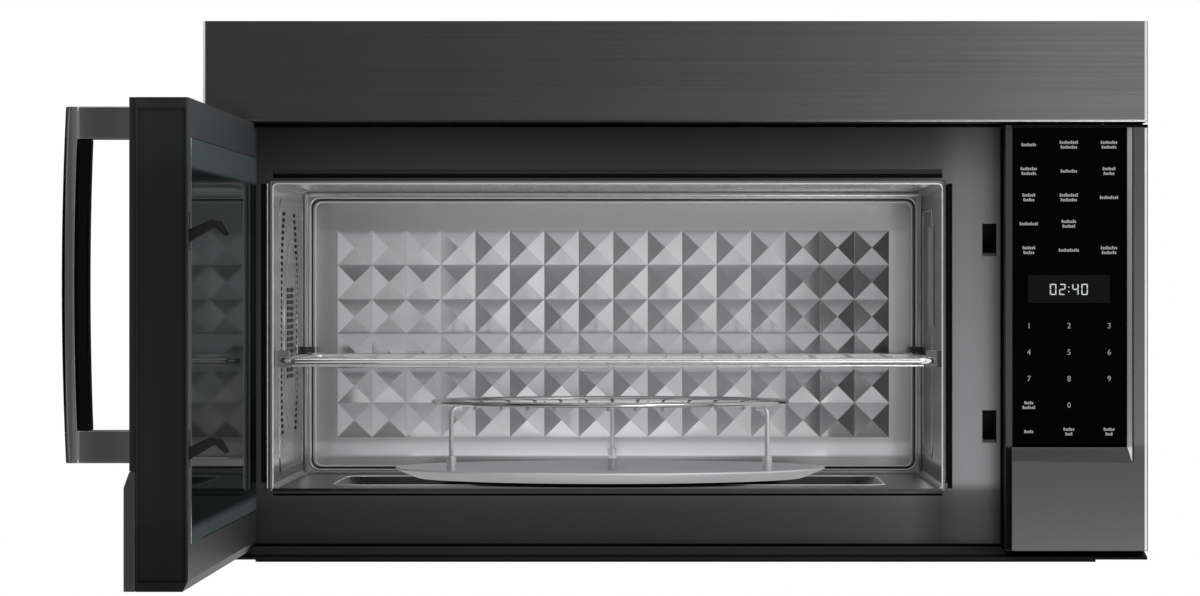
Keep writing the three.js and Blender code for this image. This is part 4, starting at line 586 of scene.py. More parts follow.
# Black strips on the plate beside the mouth: painted shadow of the side grooves.
groove_shade_bars = [
    (*(cavity_left + np.array(LEFT_GROOVE_SHADE)), cavity_bottom + GROOVE_SHADE_FEET[0], cavity_top),
    (*(cavity_right + np.array(RIGHT_GROOVE_SHADE)), cavity_bottom + GROOVE_SHADE_FEET[1], cavity_top - GROOVE_SHADE_HEAD),
]
fit_bars("side_groove_shade", groove_shade_bars, plate_low.y - STAND, GROOVE_SHADE_THICK, shade_black)
SLOT_X = (249.6 * MM, 259.8 * MM)
SLOT_FEET = (27.7 * MM, -123.7 * MM)
SLOT_LIP = 2.6 * MM
SLOT_LIP_SUNK = 0.5 * MM
SLOT_LIP_THICK = 1.2 * MM
slot_lips = [(*SLOT_X, foot, foot + SLOT_LIP) for foot in SLOT_FEET]
fit_bars("slot_lips", slot_lips, plate_low.y + SLOT_LIP_SUNK, SLOT_LIP_THICK, slot_lip_steel)
housing_low, housing_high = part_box("control_housing")
# A black bar beside the housing: painted shadow of the gap between the plate and the panel.
gap_foot, gap_head = plate_low.z + PANEL_GAP_END, plate_high.z - PANEL_GAP_END
panel_gap = [(housing_low.x - PANEL_GAP, housing_low.x, gap_foot, gap_head)]
fit_bars("panel_shadow_gap", panel_gap, plate_low.y - STAND, FILM, shade_black)
# A black strip along the top of the panel surround: painted shadow under the fascia.
top_shadow_bar = [(skin_low.x, skin_high.x, skin_high.z - PANEL_TOP_SHADOW, skin_high.z)]
fit_bars("panel_top_shadow", top_shadow_bar, skin_low.y - FILM / 2, FILM, shade_black)
LIP_RADIUS = 0.8 * MM
LIP_ASIDE = 4.3 * MM
lip_x = cavity_left - LIP_ASIDE
lip_path = [(lip_x, plate_low.y, cavity_bottom), (lip_x, plate_low.y, cavity_top)]
# Nickel-plated lip: a thin bright line.
plated_lip = surface_finish("plated_lip", "#c4c4c5", 1, 0.25, (1.1, 1.1, 200), shade=0.05, wander=0.04)
fit_piece("groove_lip", tube("groove_lip", lip_path, LIP_RADIUS, RIGHTWARD), plated_lip, "case")


# ---- Oven cavity ---------------------------------------------------------------------------
# Bright stainless sheets. The back is pressed with a field of pyramids inside a rounded bead,
# the corners are drawn to small radii, and the left wall is pierced for the hot air.

# Stainless sheet, bright rolled: a clean grey mirror, slightly drawn out.
liner_steel = surface_finish("liner_steel", "#a6a6a7", 0.85, 0.24, (500, 3.3, 3.3), shade=0.02, wander=0.01)
# The same sheet on the floor: darker, a painted reflection of the dark room it mirrors, and darkest by the
# left wall, where shade is painted.
liner_floor = surface_finish(
    "liner_floor_steel", "#424243", 0.9, 0.3, (250, 6.2, 6.2), shade=0.03, wander=0.03, bump=0.01,
    ramps=[("X", [(-0.327, 0.4), (-0.27, 0.5), (-0.2, 1.0), (0.217, 1.0)])],
)
# The same sheet on the right wall, darker: painted shade, as it faces away from the light; painted light
# brightens it near the back.
liner_right = surface_finish(
    "liner_right_steel", "#636364", 0.9, 0.34, (6.2, 250, 6.2), shade=0.02, wander=0.02,
    ramps=[("Y", [(-0.42, 1.0), (-0.095, 1.1), (-0.075, 1.9), (-0.02, 1.9)])],
)
# Stainless sheet, pressed and polished: even mirrors, with painted shade at the left and right rims and the
# top, and painted light along the foot.
liner_back = surface_finish(
    "liner_back_steel", "#cacacc", 0.9, 0.2, (330, 8.3, 8.3), shade=0.012,
    ramps=[
        ("X", [
            (-0.327, 0.8), (-0.305, 0.85), (-0.296, 1.0), (0.172, 1.0), (0.182, 0.96),
            (0.198, 0.6), (0.217, 0.45),
        ]),
        ("Z", [(-0.16, 1.25), (-0.137, 1.4), (-0.131, 1.0), (0.05, 1.0), (0.056, 0.85), (0.086, 0.8)]),
    ],
)
dress(liner_steel, "cavity_left_wall", "cavity_roof", "rack_support_front_left")
dress(liner_right, "cavity_right_wall", "rack_support_front_right")
dress(liner_floor, "cavity_floor")


def round_corners(corners, radius, steps=8, closed=True):
    """A path through corners, each turned into an arc: a blend of its two tangent points."""
    corners = np.asarray(corners, float)
    start = corners + radius * units(np.roll(corners, 1, axis=0) - corners)
    end = corners + radius * units(np.roll(corners, -1, axis=0) - corners)
    angle = np.linspace(0, np.pi / 2, steps + 1)[None, :, None]
    middle = (start + end - corners)[:, None]
    arc = middle + (start[:, None] - middle) * np.cos(angle) + (end[:, None] - middle) * np.sin(angle)
    if closed:
        return arc.reshape(-1, arc.shape[-1])
    inner = arc[1:-1].reshape(-1, arc.shape[-1])
    return np.vstack([corners[:1], inner, corners[-1:]])


PYRAMID_PITCH = 30.32 * MM
PYRAMID_RISE = 7 * MM
PYRAMID_COLUMNS, PYRAMID_ROWS = 16, 6
PYRAMID_DROP = 1.2 * MM  # the field lies a little low and to the right
PYRAMID_SHIFT = 0.45 * MM
PYRAMID_SEAT = 0.05 * MM
FACET_SHARP = 10


def pressed_back():
    """The back sheet and its pyramids: four corner points and a peak for each, in one array."""
    mid_x, mid_z = cavity_mid_x + PYRAMID_SHIFT, cavity_mid_z - PYRAMID_DROP
    x = mid_x + (np.arange(PYRAMID_COLUMNS) - (PYRAMID_COLUMNS - 1) / 2) * PYRAMID_PITCH
    z = mid_z + (np.arange(PYRAMID_ROWS) - (PYRAMID_ROWS - 1) / 2) * PYRAMID_PITCH
    x, z = [part.reshape(-1) for part in np.meshgrid(x, z)]
    half = PYRAMID_PITCH / 2
    offset = np.array([[-half, 0, -half], [half, 0, -half], [half, 0, half], [-half, 0, half], [0, 0, 0]])
    centre = np.stack([x, np.full_like(x, cavity_back + PYRAMID_SEAT), z], axis=1)
    points = centre[:, None] + offset[None]
    points[:, 4, 1] = cavity_back - PYRAMID_RISE
    base = 5 * np.arange(len(x))[:, None]
    sides = np.array([[0, 1, 4], [1, 2, 4], [2, 3, 4], [3, 0, 4]])
    faces = (base[:, :, None] + sides[None]).reshape(-1, 3)
    return solid_mesh("pressed_pyramids", points, faces, fill=True, sharp=FACET_SHARP)


def plain_sheet(name, low, high):
    """A closed flat sheet between two corners: a ring of four points at each face, filled."""
    x, z = np.array([low[0], high[0], high[0], low[0]]), np.array([low[2], low[2], high[2], high[2]])
    grid = np.stack([np.stack([x, np.full(4, y), z], axis=1) for y in (low[1], high[1])])
    return grid_mesh(name, grid, wrap_v=True, fill=True)


BEAD_RADIUS = 0.9 * MM
VALLEY_RADIUS = 0.75 * MM
BEAD_RINGS = (
    {"left": 5.2 * MM, "right": 4.5 * MM, "top": 5.2 * MM, "foot": 3.0 * MM, "corner": 9 * MM},
    {"left": 10.2 * MM, "right": 8.9 * MM, "top": 9.0 * MM, "foot": 6.1 * MM, "corner": 6 * MM},
)


def bead_ring(ring, radius):
    """One ring of the bead on the back sheet: a closed tube along a rounded rectangle."""
    x0, x1 = cavity_left + ring["left"], cavity_right - ring["right"]
    z0, z1 = cavity_bottom + ring["foot"], cavity_top - ring["top"]
    corners = [(x0, cavity_back, z0), (x1, cavity_back, z0), (x1, cavity_back, z1), (x0, cavity_back, z1)]
    path = round_corners(corners, ring["corner"], steps=12)
    return tube("bead", path, radius, INWARD, closed=True, sides=14)


bead_rings = [bead_ring(ring, BEAD_RADIUS) for ring in BEAD_RINGS]
# A dark tube between the bead's two rings: painted shade in the valley.
between = {side: (BEAD_RINGS[0][side] + BEAD_RINGS[1][side]) / 2 for side in BEAD_RINGS[0]}
bead_valley = bead_ring(between, VALLEY_RADIUS)
back_sheet = plain_sheet("back_sheet", (back_low.x, cavity_back, back_low.z), back_high)
pressed = [pressed_back(), back_sheet]
fit_joined("pressed_back", pressed, liner_back, "case", ["cavity_back_wall"], FACET_SHARP)
# Stainless rolled to a small radius, pale and half matt: a bright line, partly a painted highlight.
bead_steel = surface_finish("bead_steel", "#dededf", 0.45, 0.24, 17, shade=0.03, wander=0.03)
fit_joined("back_bead", bead_rings, bead_steel, "case")
fit_piece("bead_valley", bead_valley, shade_grey, "case")

# The floor dips under the turntable. The dip's upper edge is rolled, and its pale finish paints a highlight
# on it.
RECESS_HALF_WIDTH = 228.4 * MM
RECESS_HALF_DEPTH = 116 * MM
RECESS_CORNER = 20 * MM
RIM_RADIUS = 1.1 * MM
RIM_SUNK = 0.5 * MM
tray_low, tray_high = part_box("turntable")
tray_mid = Vector(((tray_low.x + tray_high.x) / 2, (tray_low.y + tray_high.y) / 2, 0))
rim_z = cavity_bottom - RIM_SUNK
rim_corners = [
    (cavity_mid_x + side_x * RECESS_HALF_WIDTH, tray_mid.y + side_y * RECESS_HALF_DEPTH, rim_z)
    for side_x, side_y in ((-1, -1), (1, -1), (1, 1), (-1, 1))
]
recess_rim = tube("rim", round_corners(rim_corners, RECESS_CORNER), RIM_RADIUS, UPWARD, closed=True)
fit_piece("recess_rim", recess_rim, bead_steel, "case")

# The liner's front edge is rolled over the plate's opening, down both sides and along the top.
MOUTH_EDGE = 0.75 * MM
MOUTH_CORNER = 4 * MM
left_foot, left_head = (cavity_left, cavity_bottom), (cavity_left, cavity_top)
right_head, right_foot = (cavity_right, cavity_top), (cavity_right, cavity_bottom)
mouth_corners = [(x, plate_low.y, z) for x, z in (left_foot, left_head, right_head, right_foot)]
mouth_path = round_corners(mouth_corners, MOUTH_CORNER, closed=False)
mouth_mesh = tube("mouth_edge", mouth_path, MOUTH_EDGE, INWARD)
fit_piece("mouth_edge", mouth_mesh, bead_steel, "case")


COVE = 4 * MM
COVE_SHARP = 50
X, Y, Z = np.eye(3)


def cove(corner, first, second, along, steps=8):
    """A concave fillet: a corner line, and an arc round the point that lies a radius inwards.

    first and second are the unit directions away from the corner, along runs to the far end."""
    angle = np.linspace(0, np.pi / 2, steps + 1)[:, None]
    centre = corner + COVE * (first + second)
    arc = centre - COVE * (np.cos(angle) * first + np.sin(angle) * second)
    section = np.vstack([[corner], arc])
    return grid_mesh("cove", np.stack([section, section + along]), wrap_v=True, fill=True, sharp=COVE_SHARP)


depth = Y * (cavity_back - cavity_front)
length = X * (cavity_right - cavity_left)
height = Z * (cavity_top - cavity_bottom)
coves = [
    cove((cavity_left, cavity_front, cavity_bottom), X, Z, depth),
    cove((cavity_right, cavity_front, cavity_bottom), -X, Z, depth),
    cove((cavity_left, cavity_front, cavity_top), X, -Z, depth),
    cove((cavity_right, cavity_front, cavity_top), -X, -Z, depth),
    cove((cavity_left, cavity_back, cavity_bottom), X, -Y, height),
    cove((cavity_right, cavity_back, cavity_bottom), -X, -Y, height),
    cove((cavity_left, cavity_back, cavity_top), -Y, -Z, length),
]
fit_joined("liner_coves", coves, liner_steel, "case", sharp=COVE_SHARP)

# Raised ribs on the side walls: a frame on each, and a ring before the hot-air fan on the left.
SIDE_RIB = 0.9 * MM
PRESSED_WALL = {"y": (-331 * MM, -56 * MM), "z": (-150 * MM, 75 * MM)}
PRESSED_FAR = {"y": (-238 * MM, -67 * MM), "z": (-141 * MM, 68 * MM)}
RIB_CORNER = 14 * MM
FAN_RING = {"y": -200 * MM, "z": -36.9 * MM, "radius": 80 * MM}


def wall_rib(path):
    """A rib along a closed path on a side wall."""
    return tube("rib", path, SIDE_RIB, RIGHTWARD, closed=True)


def wall_outline(x, y, z):
    """A rounded rectangle that stands on a side wall, between two values of y and of z."""
    corners = [(x, y[0], z[0]), (x, y[0], z[1]), (x, y[1], z[1]), (x, y[1], z[0])]
    return round_corners(corners, RIB_CORNER)


circle = turns(72)
fan_y = FAN_RING["y"] + FAN_RING["radius"] * np.cos(circle)
fan_z = FAN_RING["z"] + FAN_RING["radius"] * np.sin(circle)
side_ribs = [
    wall_rib(wall_outline(cavity_left, **PRESSED_WALL)),
    wall_rib(np.stack([np.full_like(circle, cavity_left), fan_y, fan_z], axis=1)),
    wall_rib(wall_outline(cavity_right, **PRESSED_FAR)),
]
fit_joined("side_ribs", side_ribs, liner_steel, "case")

# Black sheets on the left wall, where the hot air leaves and returns: painted shade of slots, two rows on one
# oval.
VENT_SLOT = {"long": 25 * MM, "tall": 2.8 * MM, "pitch": 5.2 * MM}
VENT_ARC = {"y": -219 * MM, "z": -38 * MM, "wide": 100 * MM, "high": 128 * MM}
VENT_SPAN = (-118 * MM, 68 * MM)
vent_slots = []
for z in np.arange(*VENT_SPAN, VENT_SLOT["pitch"]):
    reach = VENT_ARC["wide"] * math.sqrt(1 - ((z - VENT_ARC["z"]) / VENT_ARC["high"]) ** 2)
    for y in (VENT_ARC["y"] - reach, VENT_ARC["y"] + reach):
        middle = np.array([cavity_left, y, z])
        half = np.array([0, VENT_SLOT["long"] / 2, VENT_SLOT["tall"] / 2])
        vent_slots.append(plain_sheet("slot", middle - half - 2 * STAND * X, middle + half + STAND * X))
fit_joined("vent_slots", vent_slots, shade_black, "case")


# ---- Sliding wire rack ---------------------------------------------------------------------
# Bright plated rod: a round-cornered frame, wires from front to back, three heavier runners and
# three thin cross wires under them, all spot welded where they touch.

# Chrome-plated steel rod: white lines with thin dark sides.
plated_wire = surface_finish("plated_wire", "#e7e7e8", 0.9, 0.16, 3.3, shade=0.03, wander=0.04)
FRAME_ROD = 2.4 * MM
FRAME_CORNER = 10 * MM
RACK_WIRES = 16
THIN_WIRE = 1.2 * MM
RUNNER_WIRE = 1.6 * MM
CROSS_WIRE = 1.0 * MM
RUNNERS = (-129 * MM, 0, 129 * MM)
CROSS_INSET = 7 * MM
CROSS_END = 9 * MM
THIN_RISE = 0.5 * MM
RUNNER_DROP = 0.4 * MM
CROSS_DROP = 1.1 * MM
rack_low, rack_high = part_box("wire_rack")
rail_z = rack_high.z - FRAME_ROD
thin_z = rail_z + THIN_RISE
runner_z = rail_z - FRAME_ROD - RUNNER_DROP
cross_z = runner_z - CROSS_DROP
x0, x1 = rack_low.x + FRAME_ROD, rack_high.x - FRAME_ROD
y0, y1 = rack_low.y + FRAME_ROD, rack_high.y - FRAME_ROD


def rod(ends, radius, closed=False, sides=12):
    """A level rod of a rack."""
    return tube("rod", ends, radius, UPWARD, closed, sides)


frame_corners = [(x0, y0, rail_z), (x1, y0, rail_z), (x1, y1, rail_z), (x0, y1, rail_z)]
rack_frame = round_corners(frame_corners, FRAME_CORNER)
rack_rods = [rod(rack_frame, FRAME_ROD, closed=True, sides=16)]
for x in np.linspace(rack_low.x, rack_high.x, RACK_WIRES + 2)[1:-1]:
    rack_rods.append(rod([(x, y0, thin_z), (x, y1, thin_z)], THIN_WIRE))
for x in cavity_mid_x + np.array(RUNNERS):
    runner_y = (rack_low.y + THIN_WIRE, rack_high.y - THIN_WIRE)
    rack_rods.append(rod([(x, y, runner_z) for y in runner_y], RUNNER_WIRE))
for y in (rack_low.y + CROSS_INSET, (rack_low.y + rack_high.y) / 2, rack_high.y - CROSS_INSET):
    cross_x = (rack_low.x + CROSS_END, rack_high.x - CROSS_END)
    rack_rods.append(rod([(x, y, cross_z) for x in cross_x], CROSS_WIRE))
fit_joined("rack_rods", rack_rods, plated_wire, "sliding_rack", ["wire_rack"])


# ---- Turntable and its drive ---------------------------------------------------------------
# A spun steel tray with a flared rim, turned to a satin of fine rings. It sits on a moulded
# coupler and on a ring with three small rollers.


def spun(name, profile, centre, steps=160, sharp=30):
    """A profile of (radius, height) turned once round the upright line at centre."""
    profile = np.asarray(profile, float)
    angle = turns(steps)[:, None]
    x = centre[0] + profile[None, :, 0] * np.cos(angle)
    y = centre[1] + profile[None, :, 0] * np.sin(angle)
    z = np.broadcast_to(profile[None, :, 1], x.shape)
    return grid_mesh(name, np.stack([x, y, z], axis=-1), wrap_u=True, sharp=sharp)


SIDE_SHARE = 0.45  # a rounding takes no more of a side than this


def eased_profile(points, radius, steps=5):
    """A profile whose inner corners are rounded; its first and last points stay."""
    points = np.asarray(points, float)
    sides = np.linalg.norm(np.diff(points, axis=0), axis=1)
    reach = np.minimum(radius, SIDE_SHARE * np.minimum(sides[:-1], sides[1:]))[:, None]
    corner = points[1:-1]
    start = corner + reach * units(points[:-2] - corner)
    end = corner + reach * units(points[2:] - corner)
    t = np.linspace(0, 1, steps + 1)[None, :, None]
    arc = (1 - t) ** 2 * start[:, None] + 2 * t * (1 - t) * corner[:, None] + t**2 * end[:, None]
    return np.vstack([points[:1], arc.reshape(-1, 2), points[-1:]])


TRAY_RIM = 181.5 * MM
TRAY_WALL = 2 * MM
TRAY_DISH = 7.4 * MM
TRAY_FLAT = 158 * MM
TRAY_FOOT = 162 * MM
TRAY_EASE = 2.5 * MM
TRAY_LIP = (3.2 * MM, 1.6 * MM)  # width and height of the rim's rolled lip
TRAY_LIP_SLOPE = 0.2 * MM
rim_top = tray_high.z
tray_top = rim_top - TRAY_DISH
tray_under = tray_top - TRAY_WALL
tray_corners = [
    (0, tray_top),
    (TRAY_FLAT, tray_top),
    (TRAY_RIM - TRAY_LIP[0], rim_top - TRAY_LIP_SLOPE),
    (TRAY_RIM - TRAY_LIP_SLOPE, rim_top),
    (TRAY_RIM, rim_top - TRAY_LIP[1]),
    (TRAY_FOOT, tray_under),
    (0, tray_under),
]
tray_mesh = spun("spun_tray", eased_profile(tray_corners, TRAY_EASE), tray_mid)
# Steel turned to a satin of fine rings: a soft, light, even grey.
turned_satin = surface_finish(
    "turned_satin", "#d4d4d6", 0.12, 0.45, (1.4, 1000, 1000), shade=0.05, wander=0.06, bump=0.08,
    centre=tuple(tray_mid),
)
fit_piece("spun_tray", tray_mesh, turned_satin, "tray", ["turntable"])
# Heat-proof white nylon, moulded: off-white and waxy.
moulded_white = surface_finish("moulded_white", "#e5e5e1", 0, 0.45, 1.25, shade=0.02, wander=0.05, bump=0.1)
# Grey nylon, moulded: flat and slightly warm.
moulded_grey = surface_finish("moulded_grey", "#959593", 0, 0.5, 1.25, shade=0.04, wander=0.05, bump=0.15)
dress(moulded_white, "turntable_coupler", "cooling_fan")
dress(moulded_grey, "roller_ring", "roller_1", "roller_2", "roller_3")
dress(galvanised, "turntable_motor")


# ---- Round rack ----------------------------------------------------------------------------
# A plated ring with eleven parallel wires welded under it, and three legs bent from the same
# rod. Each leg ends in a satin sleeve that keeps it from marking the tray.

RING_RADIUS = 149 * MM
RING_ROD = 2.25 * MM
WIRE_ROD = 1.6 * MM
WIRE_PITCH = 22.2 * MM
WIRES_ASIDE = 5
WIRE_OVER = 0.6 * MM
WIRE_LAP = 0.4 * MM  # a weld sinks one rod into the next
LEG_LAP = 0.3 * MM
LEG_ROD = 2.0 * MM
LEG_BEND = 5 * MM
LEG_START = 10 * MM
LEG_ANGLES = np.radians([90, 208, 332])
SLEEVE_RADIUS = 3.9 * MM
SLEEVE_HEIGHT = 18 * MM
SLEEVE_LAP = 2 * MM
SLEEVE_EASE = 0.6 * MM
round_low, round_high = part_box("round_rack")
ring_z = round_high.z - RING_ROD
wire_z = ring_z - RING_ROD - WIRE_ROD + WIRE_LAP
leg_top_z = ring_z - RING_ROD - LEG_ROD + LEG_LAP
foot_z = round_low.z
mid_x, mid_y = tray_mid.x, tray_mid.y

turn = turns(120)
ring_x, ring_y = mid_x + RING_RADIUS * np.cos(turn), mid_y + RING_RADIUS * np.sin(turn)
ring_path = np.stack([ring_x, ring_y, np.full_like(turn, ring_z)], axis=1)
ring_rods = [rod(ring_path, RING_ROD, closed=True, sides=14)]
for offset in WIRE_PITCH * np.arange(-WIRES_ASIDE, WIRES_ASIDE + 1):
    reach = math.sqrt(RING_RADIUS**2 - offset**2) + WIRE_OVER
    ring_rods.append(rod([(mid_x + offset, mid_y + side * reach, wire_z) for side in (-1, 1)], WIRE_ROD))


def leg_path(angle):
    """A leg in its own upright plane: level under the wires, a quarter turn, then straight down."""
    quarter = np.linspace(0, np.pi / 2, 10)
    bent = LEG_BEND * np.stack([np.sin(quarter) - 1, np.cos(quarter) - 1], axis=1)
    path = np.vstack([(-LEG_START, 0), bent, (0, foot_z + SLEEVE_HEIGHT - SLEEVE_LAP - leg_top_z)])
    reach, z = (path + (RING_RADIUS, leg_top_z)).T
    return np.stack([mid_x + reach * math.cos(angle), mid_y + reach * math.sin(angle), z], axis=1)


sleeve_top = foot_z + SLEEVE_HEIGHT
sleeve_corners = [(0, foot_z), (SLEEVE_RADIUS, foot_z), (SLEEVE_RADIUS, sleeve_top), (0, sleeve_top)]
sleeve = eased_profile(sleeve_corners, SLEEVE_EASE)
sleeves = []
leg_rods = []
for angle in LEG_ANGLES:
    leg_rods.append(tube("rod", leg_path(angle), LEG_ROD, (-math.sin(angle), math.cos(angle), 0)))
    spot = (mid_x + RING_RADIUS * math.cos(angle), mid_y + RING_RADIUS * math.sin(angle))
    sleeves.append(spun("sleeve", sleeve, spot, steps=32))
# Nickel-plated steel rod: a grey mirror, darker than chrome.
ring_wire = surface_finish("ring_wire", "#bcbcbd", 1, 0.14, 3.3, shade=0.03, wander=0.03)
fit_joined("ring_rods", ring_rods, ring_wire, "tall_rack", ["round_rack"])
# The same rod on the legs, paler and less of a mirror: painted light from the front.
leg_wire = surface_finish("leg_wire", "#d2d2d4", 0.6, 0.22, 3.3, shade=0.03, wander=0.03)
fit_joined("leg_rods", leg_rods, leg_wire, "tall_rack")
# Steel sleeve, ground to a satin: soft and pale.
sleeve_steel = surface_finish(
    "sleeve_steel", "#ceced0", 0.5, 0.35, (5, 5, 1.1), shade=0.04, wander=0.05, bump=0.05
)
fit_joined("leg_sleeves", sleeves, sleeve_steel, "tall_rack")


# ---- Control panel -------------------------------------------------------------------------
# Black glass with touch keys printed on its back in pale grey, and a small lit clock. The keys
# carry only digits and plain marks.

# Toughened glass, printed black behind: a black with almost no glare from the front.
panel_glass = surface_finish("panel_glass", "#020202", 0, 0.10, 33, specular=0.02, wander=0.02)
softened("control_glass", panel_glass, 0.3 * MM)
glass_low, glass_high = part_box("control_glass")
SIDE_CHAMFER = 3.5 * MM
BAND_CHAMFER = 11 * MM
CHAMFER_SHORT = 0.5 * MM
FACING = 0.12 * MM
HOUSING_DARK = 22 * MM
GLASS_GAP = 0.3 * MM
HOUSING_EASE = 0.4 * MM
# The steel surround where it is bevelled down to the glass: pale, and white at its foot, where a highlight is
# painted.
chamfer_steel = surface_finish(
    "bare_chamfer", "#adadae", 0.1, 0.5, 2, shade=0.04, wander=0.05, bump=0.08,
    ramps=[("Z", [(-0.1375, 2.2), (-0.127, 2.2), (-0.1245, 1.0), (0.1334, 1.0)])],
)
chamfer_x = glass_high.x + GLASS_GAP + np.array([0, SIDE_CHAMFER, SIDE_CHAMFER - FACING, -FACING])
chamfer_y = np.array([glass_low.y, skin_low.y + FACING, skin_low.y, glass_low.y - FACING])
chamfer_foot = glass_low.z - GLASS_GAP - np.array([0, BAND_CHAMFER, BAND_CHAMFER, 0])
chamfer_head = np.full(4, skin_high.z - CHAMFER_SHORT)
chamfer_grid = np.stack([np.stack([chamfer_x, chamfer_y, z], axis=1) for z in (chamfer_foot, chamfer_head)])
chamfer_mesh = grid_mesh("side_chamfer", chamfer_grid, wrap_v=True, fill=True)
fit_piece("side_chamfer", chamfer_mesh, chamfer_steel, "case")
# Painted shade in the gap beside the housing: its lip and its left side are dark.
lip_shadow = [(housing_low.x + FILM, skin_low.x, housing_low.z + HOUSING_EASE, glass_low.z - GLASS_GAP)]
lip_mesh = flat_bars("housing_shadow", lip_shadow, housing_low.y - FILM, FILM)
side_mesh = plain_sheet(
    "housing_side",
    (housing_low.x - STAND, plate_low.y - HOUSING_DARK, housing_low.z + HOUSING_EASE),
    (housing_low.x - FILM / 2, plate_low.y, housing_high.z - PANEL_TOP_SHADOW),
)
fit_joined("housing_shadow", [lip_mesh, side_mesh], shade_black, "case")
PRINT_THICK = 0.04 * MM
print_y = glass_low.y - PRINT_THICK
KEY_COLUMNS = (284.2 * MM, 316.4 * MM, 348.7 * MM)
LABEL_ROWS = 117.0 * MM - 21.2 * MM * np.arange(5)
DIGIT_ROWS = -28.5 * MM - 21.3 * MM * np.arange(5)


def print_ink(name, colour, glow):
    """Pale ink or lit segments: a rough white with a little light of its own, finely mottled; on the ink,
    that light is painted.
    """
    material = surface_finish(name, colour, 0, 0.7, 2500, shade=0.06)
    set_shader(material, {"Emission Color": (*linear(colour), 1), "Emission Strength": glow})
    return material


# Screen-printed ceramic ink: pale grey and flat, with a faint painted glow.
key_ink = print_ink("key_ink", "#868889", 0.08)
# Lit segments: cool white, a little brighter than the ink.
clock_light = print_ink("clock_light", "#aaacad", 0.35)
# Smoked window over the display: a black one step lighter than the glass.
clock_shade = surface_finish("clock_window", "#0b0b0b", 0, 0.5, 17, shade=0.1, specular=0.05)


BLOCK_PITCH = 1.5 * MM
BLOCK_WIDTH = 1.1 * MM
BLOCK_HEIGHT = 1.9 * MM
TALL_BLOCK = 1.35
UPPER_LINE, LOWER_LINE, ONE_LINE = 0.9 * MM, -2.9 * MM, -1.0 * MM
FREE_KEY = (3, 2)  # a row and column of the label keys without a mark


def block_row(x, z, count):
    """A short row of small blocks about a middle, each third one taller: a mark, not a word."""
    bars = []
    for index in range(count):
        low = x + (index - count / 2) * BLOCK_PITCH
        rise = BLOCK_HEIGHT * (1.0 if index % 3 else TALL_BLOCK)
        bars.append((low, low + BLOCK_WIDTH, z, z + rise))
    return bars


def key_mark(x, z, counts):
    """One or two rows of blocks on a key, with a count for each row."""
    lines = (ONE_LINE,) if len(counts) == 1 else (UPPER_LINE, LOWER_LINE)
    return [bar for line, count in zip(lines, counts) for bar in block_row(x, z + line, count)]


key_bars = []
for row, z in enumerate(LABEL_ROWS):
    for column, x in enumerate(KEY_COLUMNS):
        if (row, column) != FREE_KEY:
            count = 7 + (2 * row + 3 * column) % 4
            counts = (count, count - 1) if (row + 2 * column) % 3 else (count + 1,)
            key_bars += key_mark(x, z, counts)
key_bars += key_mark(KEY_COLUMNS[0], DIGIT_ROWS[3], (5, 7))
key_bars += key_mark(KEY_COLUMNS[0], DIGIT_ROWS[4], (5,))
for x in KEY_COLUMNS[1:]:
    key_bars += key_mark(x, DIGIT_ROWS[4], (6, 4))
fit_bars("key_marks", key_bars, print_y, PRINT_THICK, key_ink)


DIGIT_SIZE = 6.2 * MM


def digit_mesh(text, x, z):
    """A printed digit, made a mesh and stood upright on the glass."""
    curve = bpy.data.curves.new("digit", "FONT")
    curve.body = text
    curve.size = DIGIT_SIZE
    curve.align_x = "CENTER"
    curve.align_y = "CENTER"
    curve.extrude = PRINT_THICK / 2
    holder = bpy.data.objects.new("digit", curve)
    bpy.context.scene.collection.objects.link(holder)
    bpy.context.view_layer.update()
    mesh = bpy.data.meshes.new_from_object(holder.evaluated_get(bpy.context.evaluated_depsgraph_get()))
    bpy.data.objects.remove(holder)
    bpy.data.curves.remove(curve)
    points = np.empty(3 * len(mesh.vertices))
    mesh.vertices.foreach_get("co", points)
    u, v, w = points.reshape(-1, 3).T
    stood = np.stack([x + u, print_y + PRINT_THICK / 2 - w, z + v], axis=1)
    mesh.vertices.foreach_set("co", stood.reshape(-1))
    return tidy_mesh(mesh)


digits = [
    digit_mesh(str(3 * row + column + 1), KEY_COLUMNS[column], DIGIT_ROWS[row])
    for row in range(3)
    for column in range(3)
]
digits.append(digit_mesh("0", KEY_COLUMNS[1], DIGIT_ROWS[3]))
fit_joined("key_digits", digits, key_ink, "case")

CLOCK_WINDOW = (283.4 * MM, 349.3 * MM, -10.0 * MM, 12.5 * MM)
fit_bars("clock_window", [CLOCK_WINDOW], print_y, PRINT_THICK, clock_shade)

SEGMENTS = {"0": "abcdef", "2": "abged", "4": "fgbc"}
CLOCK_TIME = "02:40"
CLOCK_START = (301.0 * MM, -3.6 * MM)
CLOCK_DIGIT = (5.2 * MM, 9.0 * MM)
SEGMENT = 0.95 * MM
DIGIT_SPACE = 0.42  # of a digit's width
COLON_LEVELS = (0.3, 0.7)  # of its height


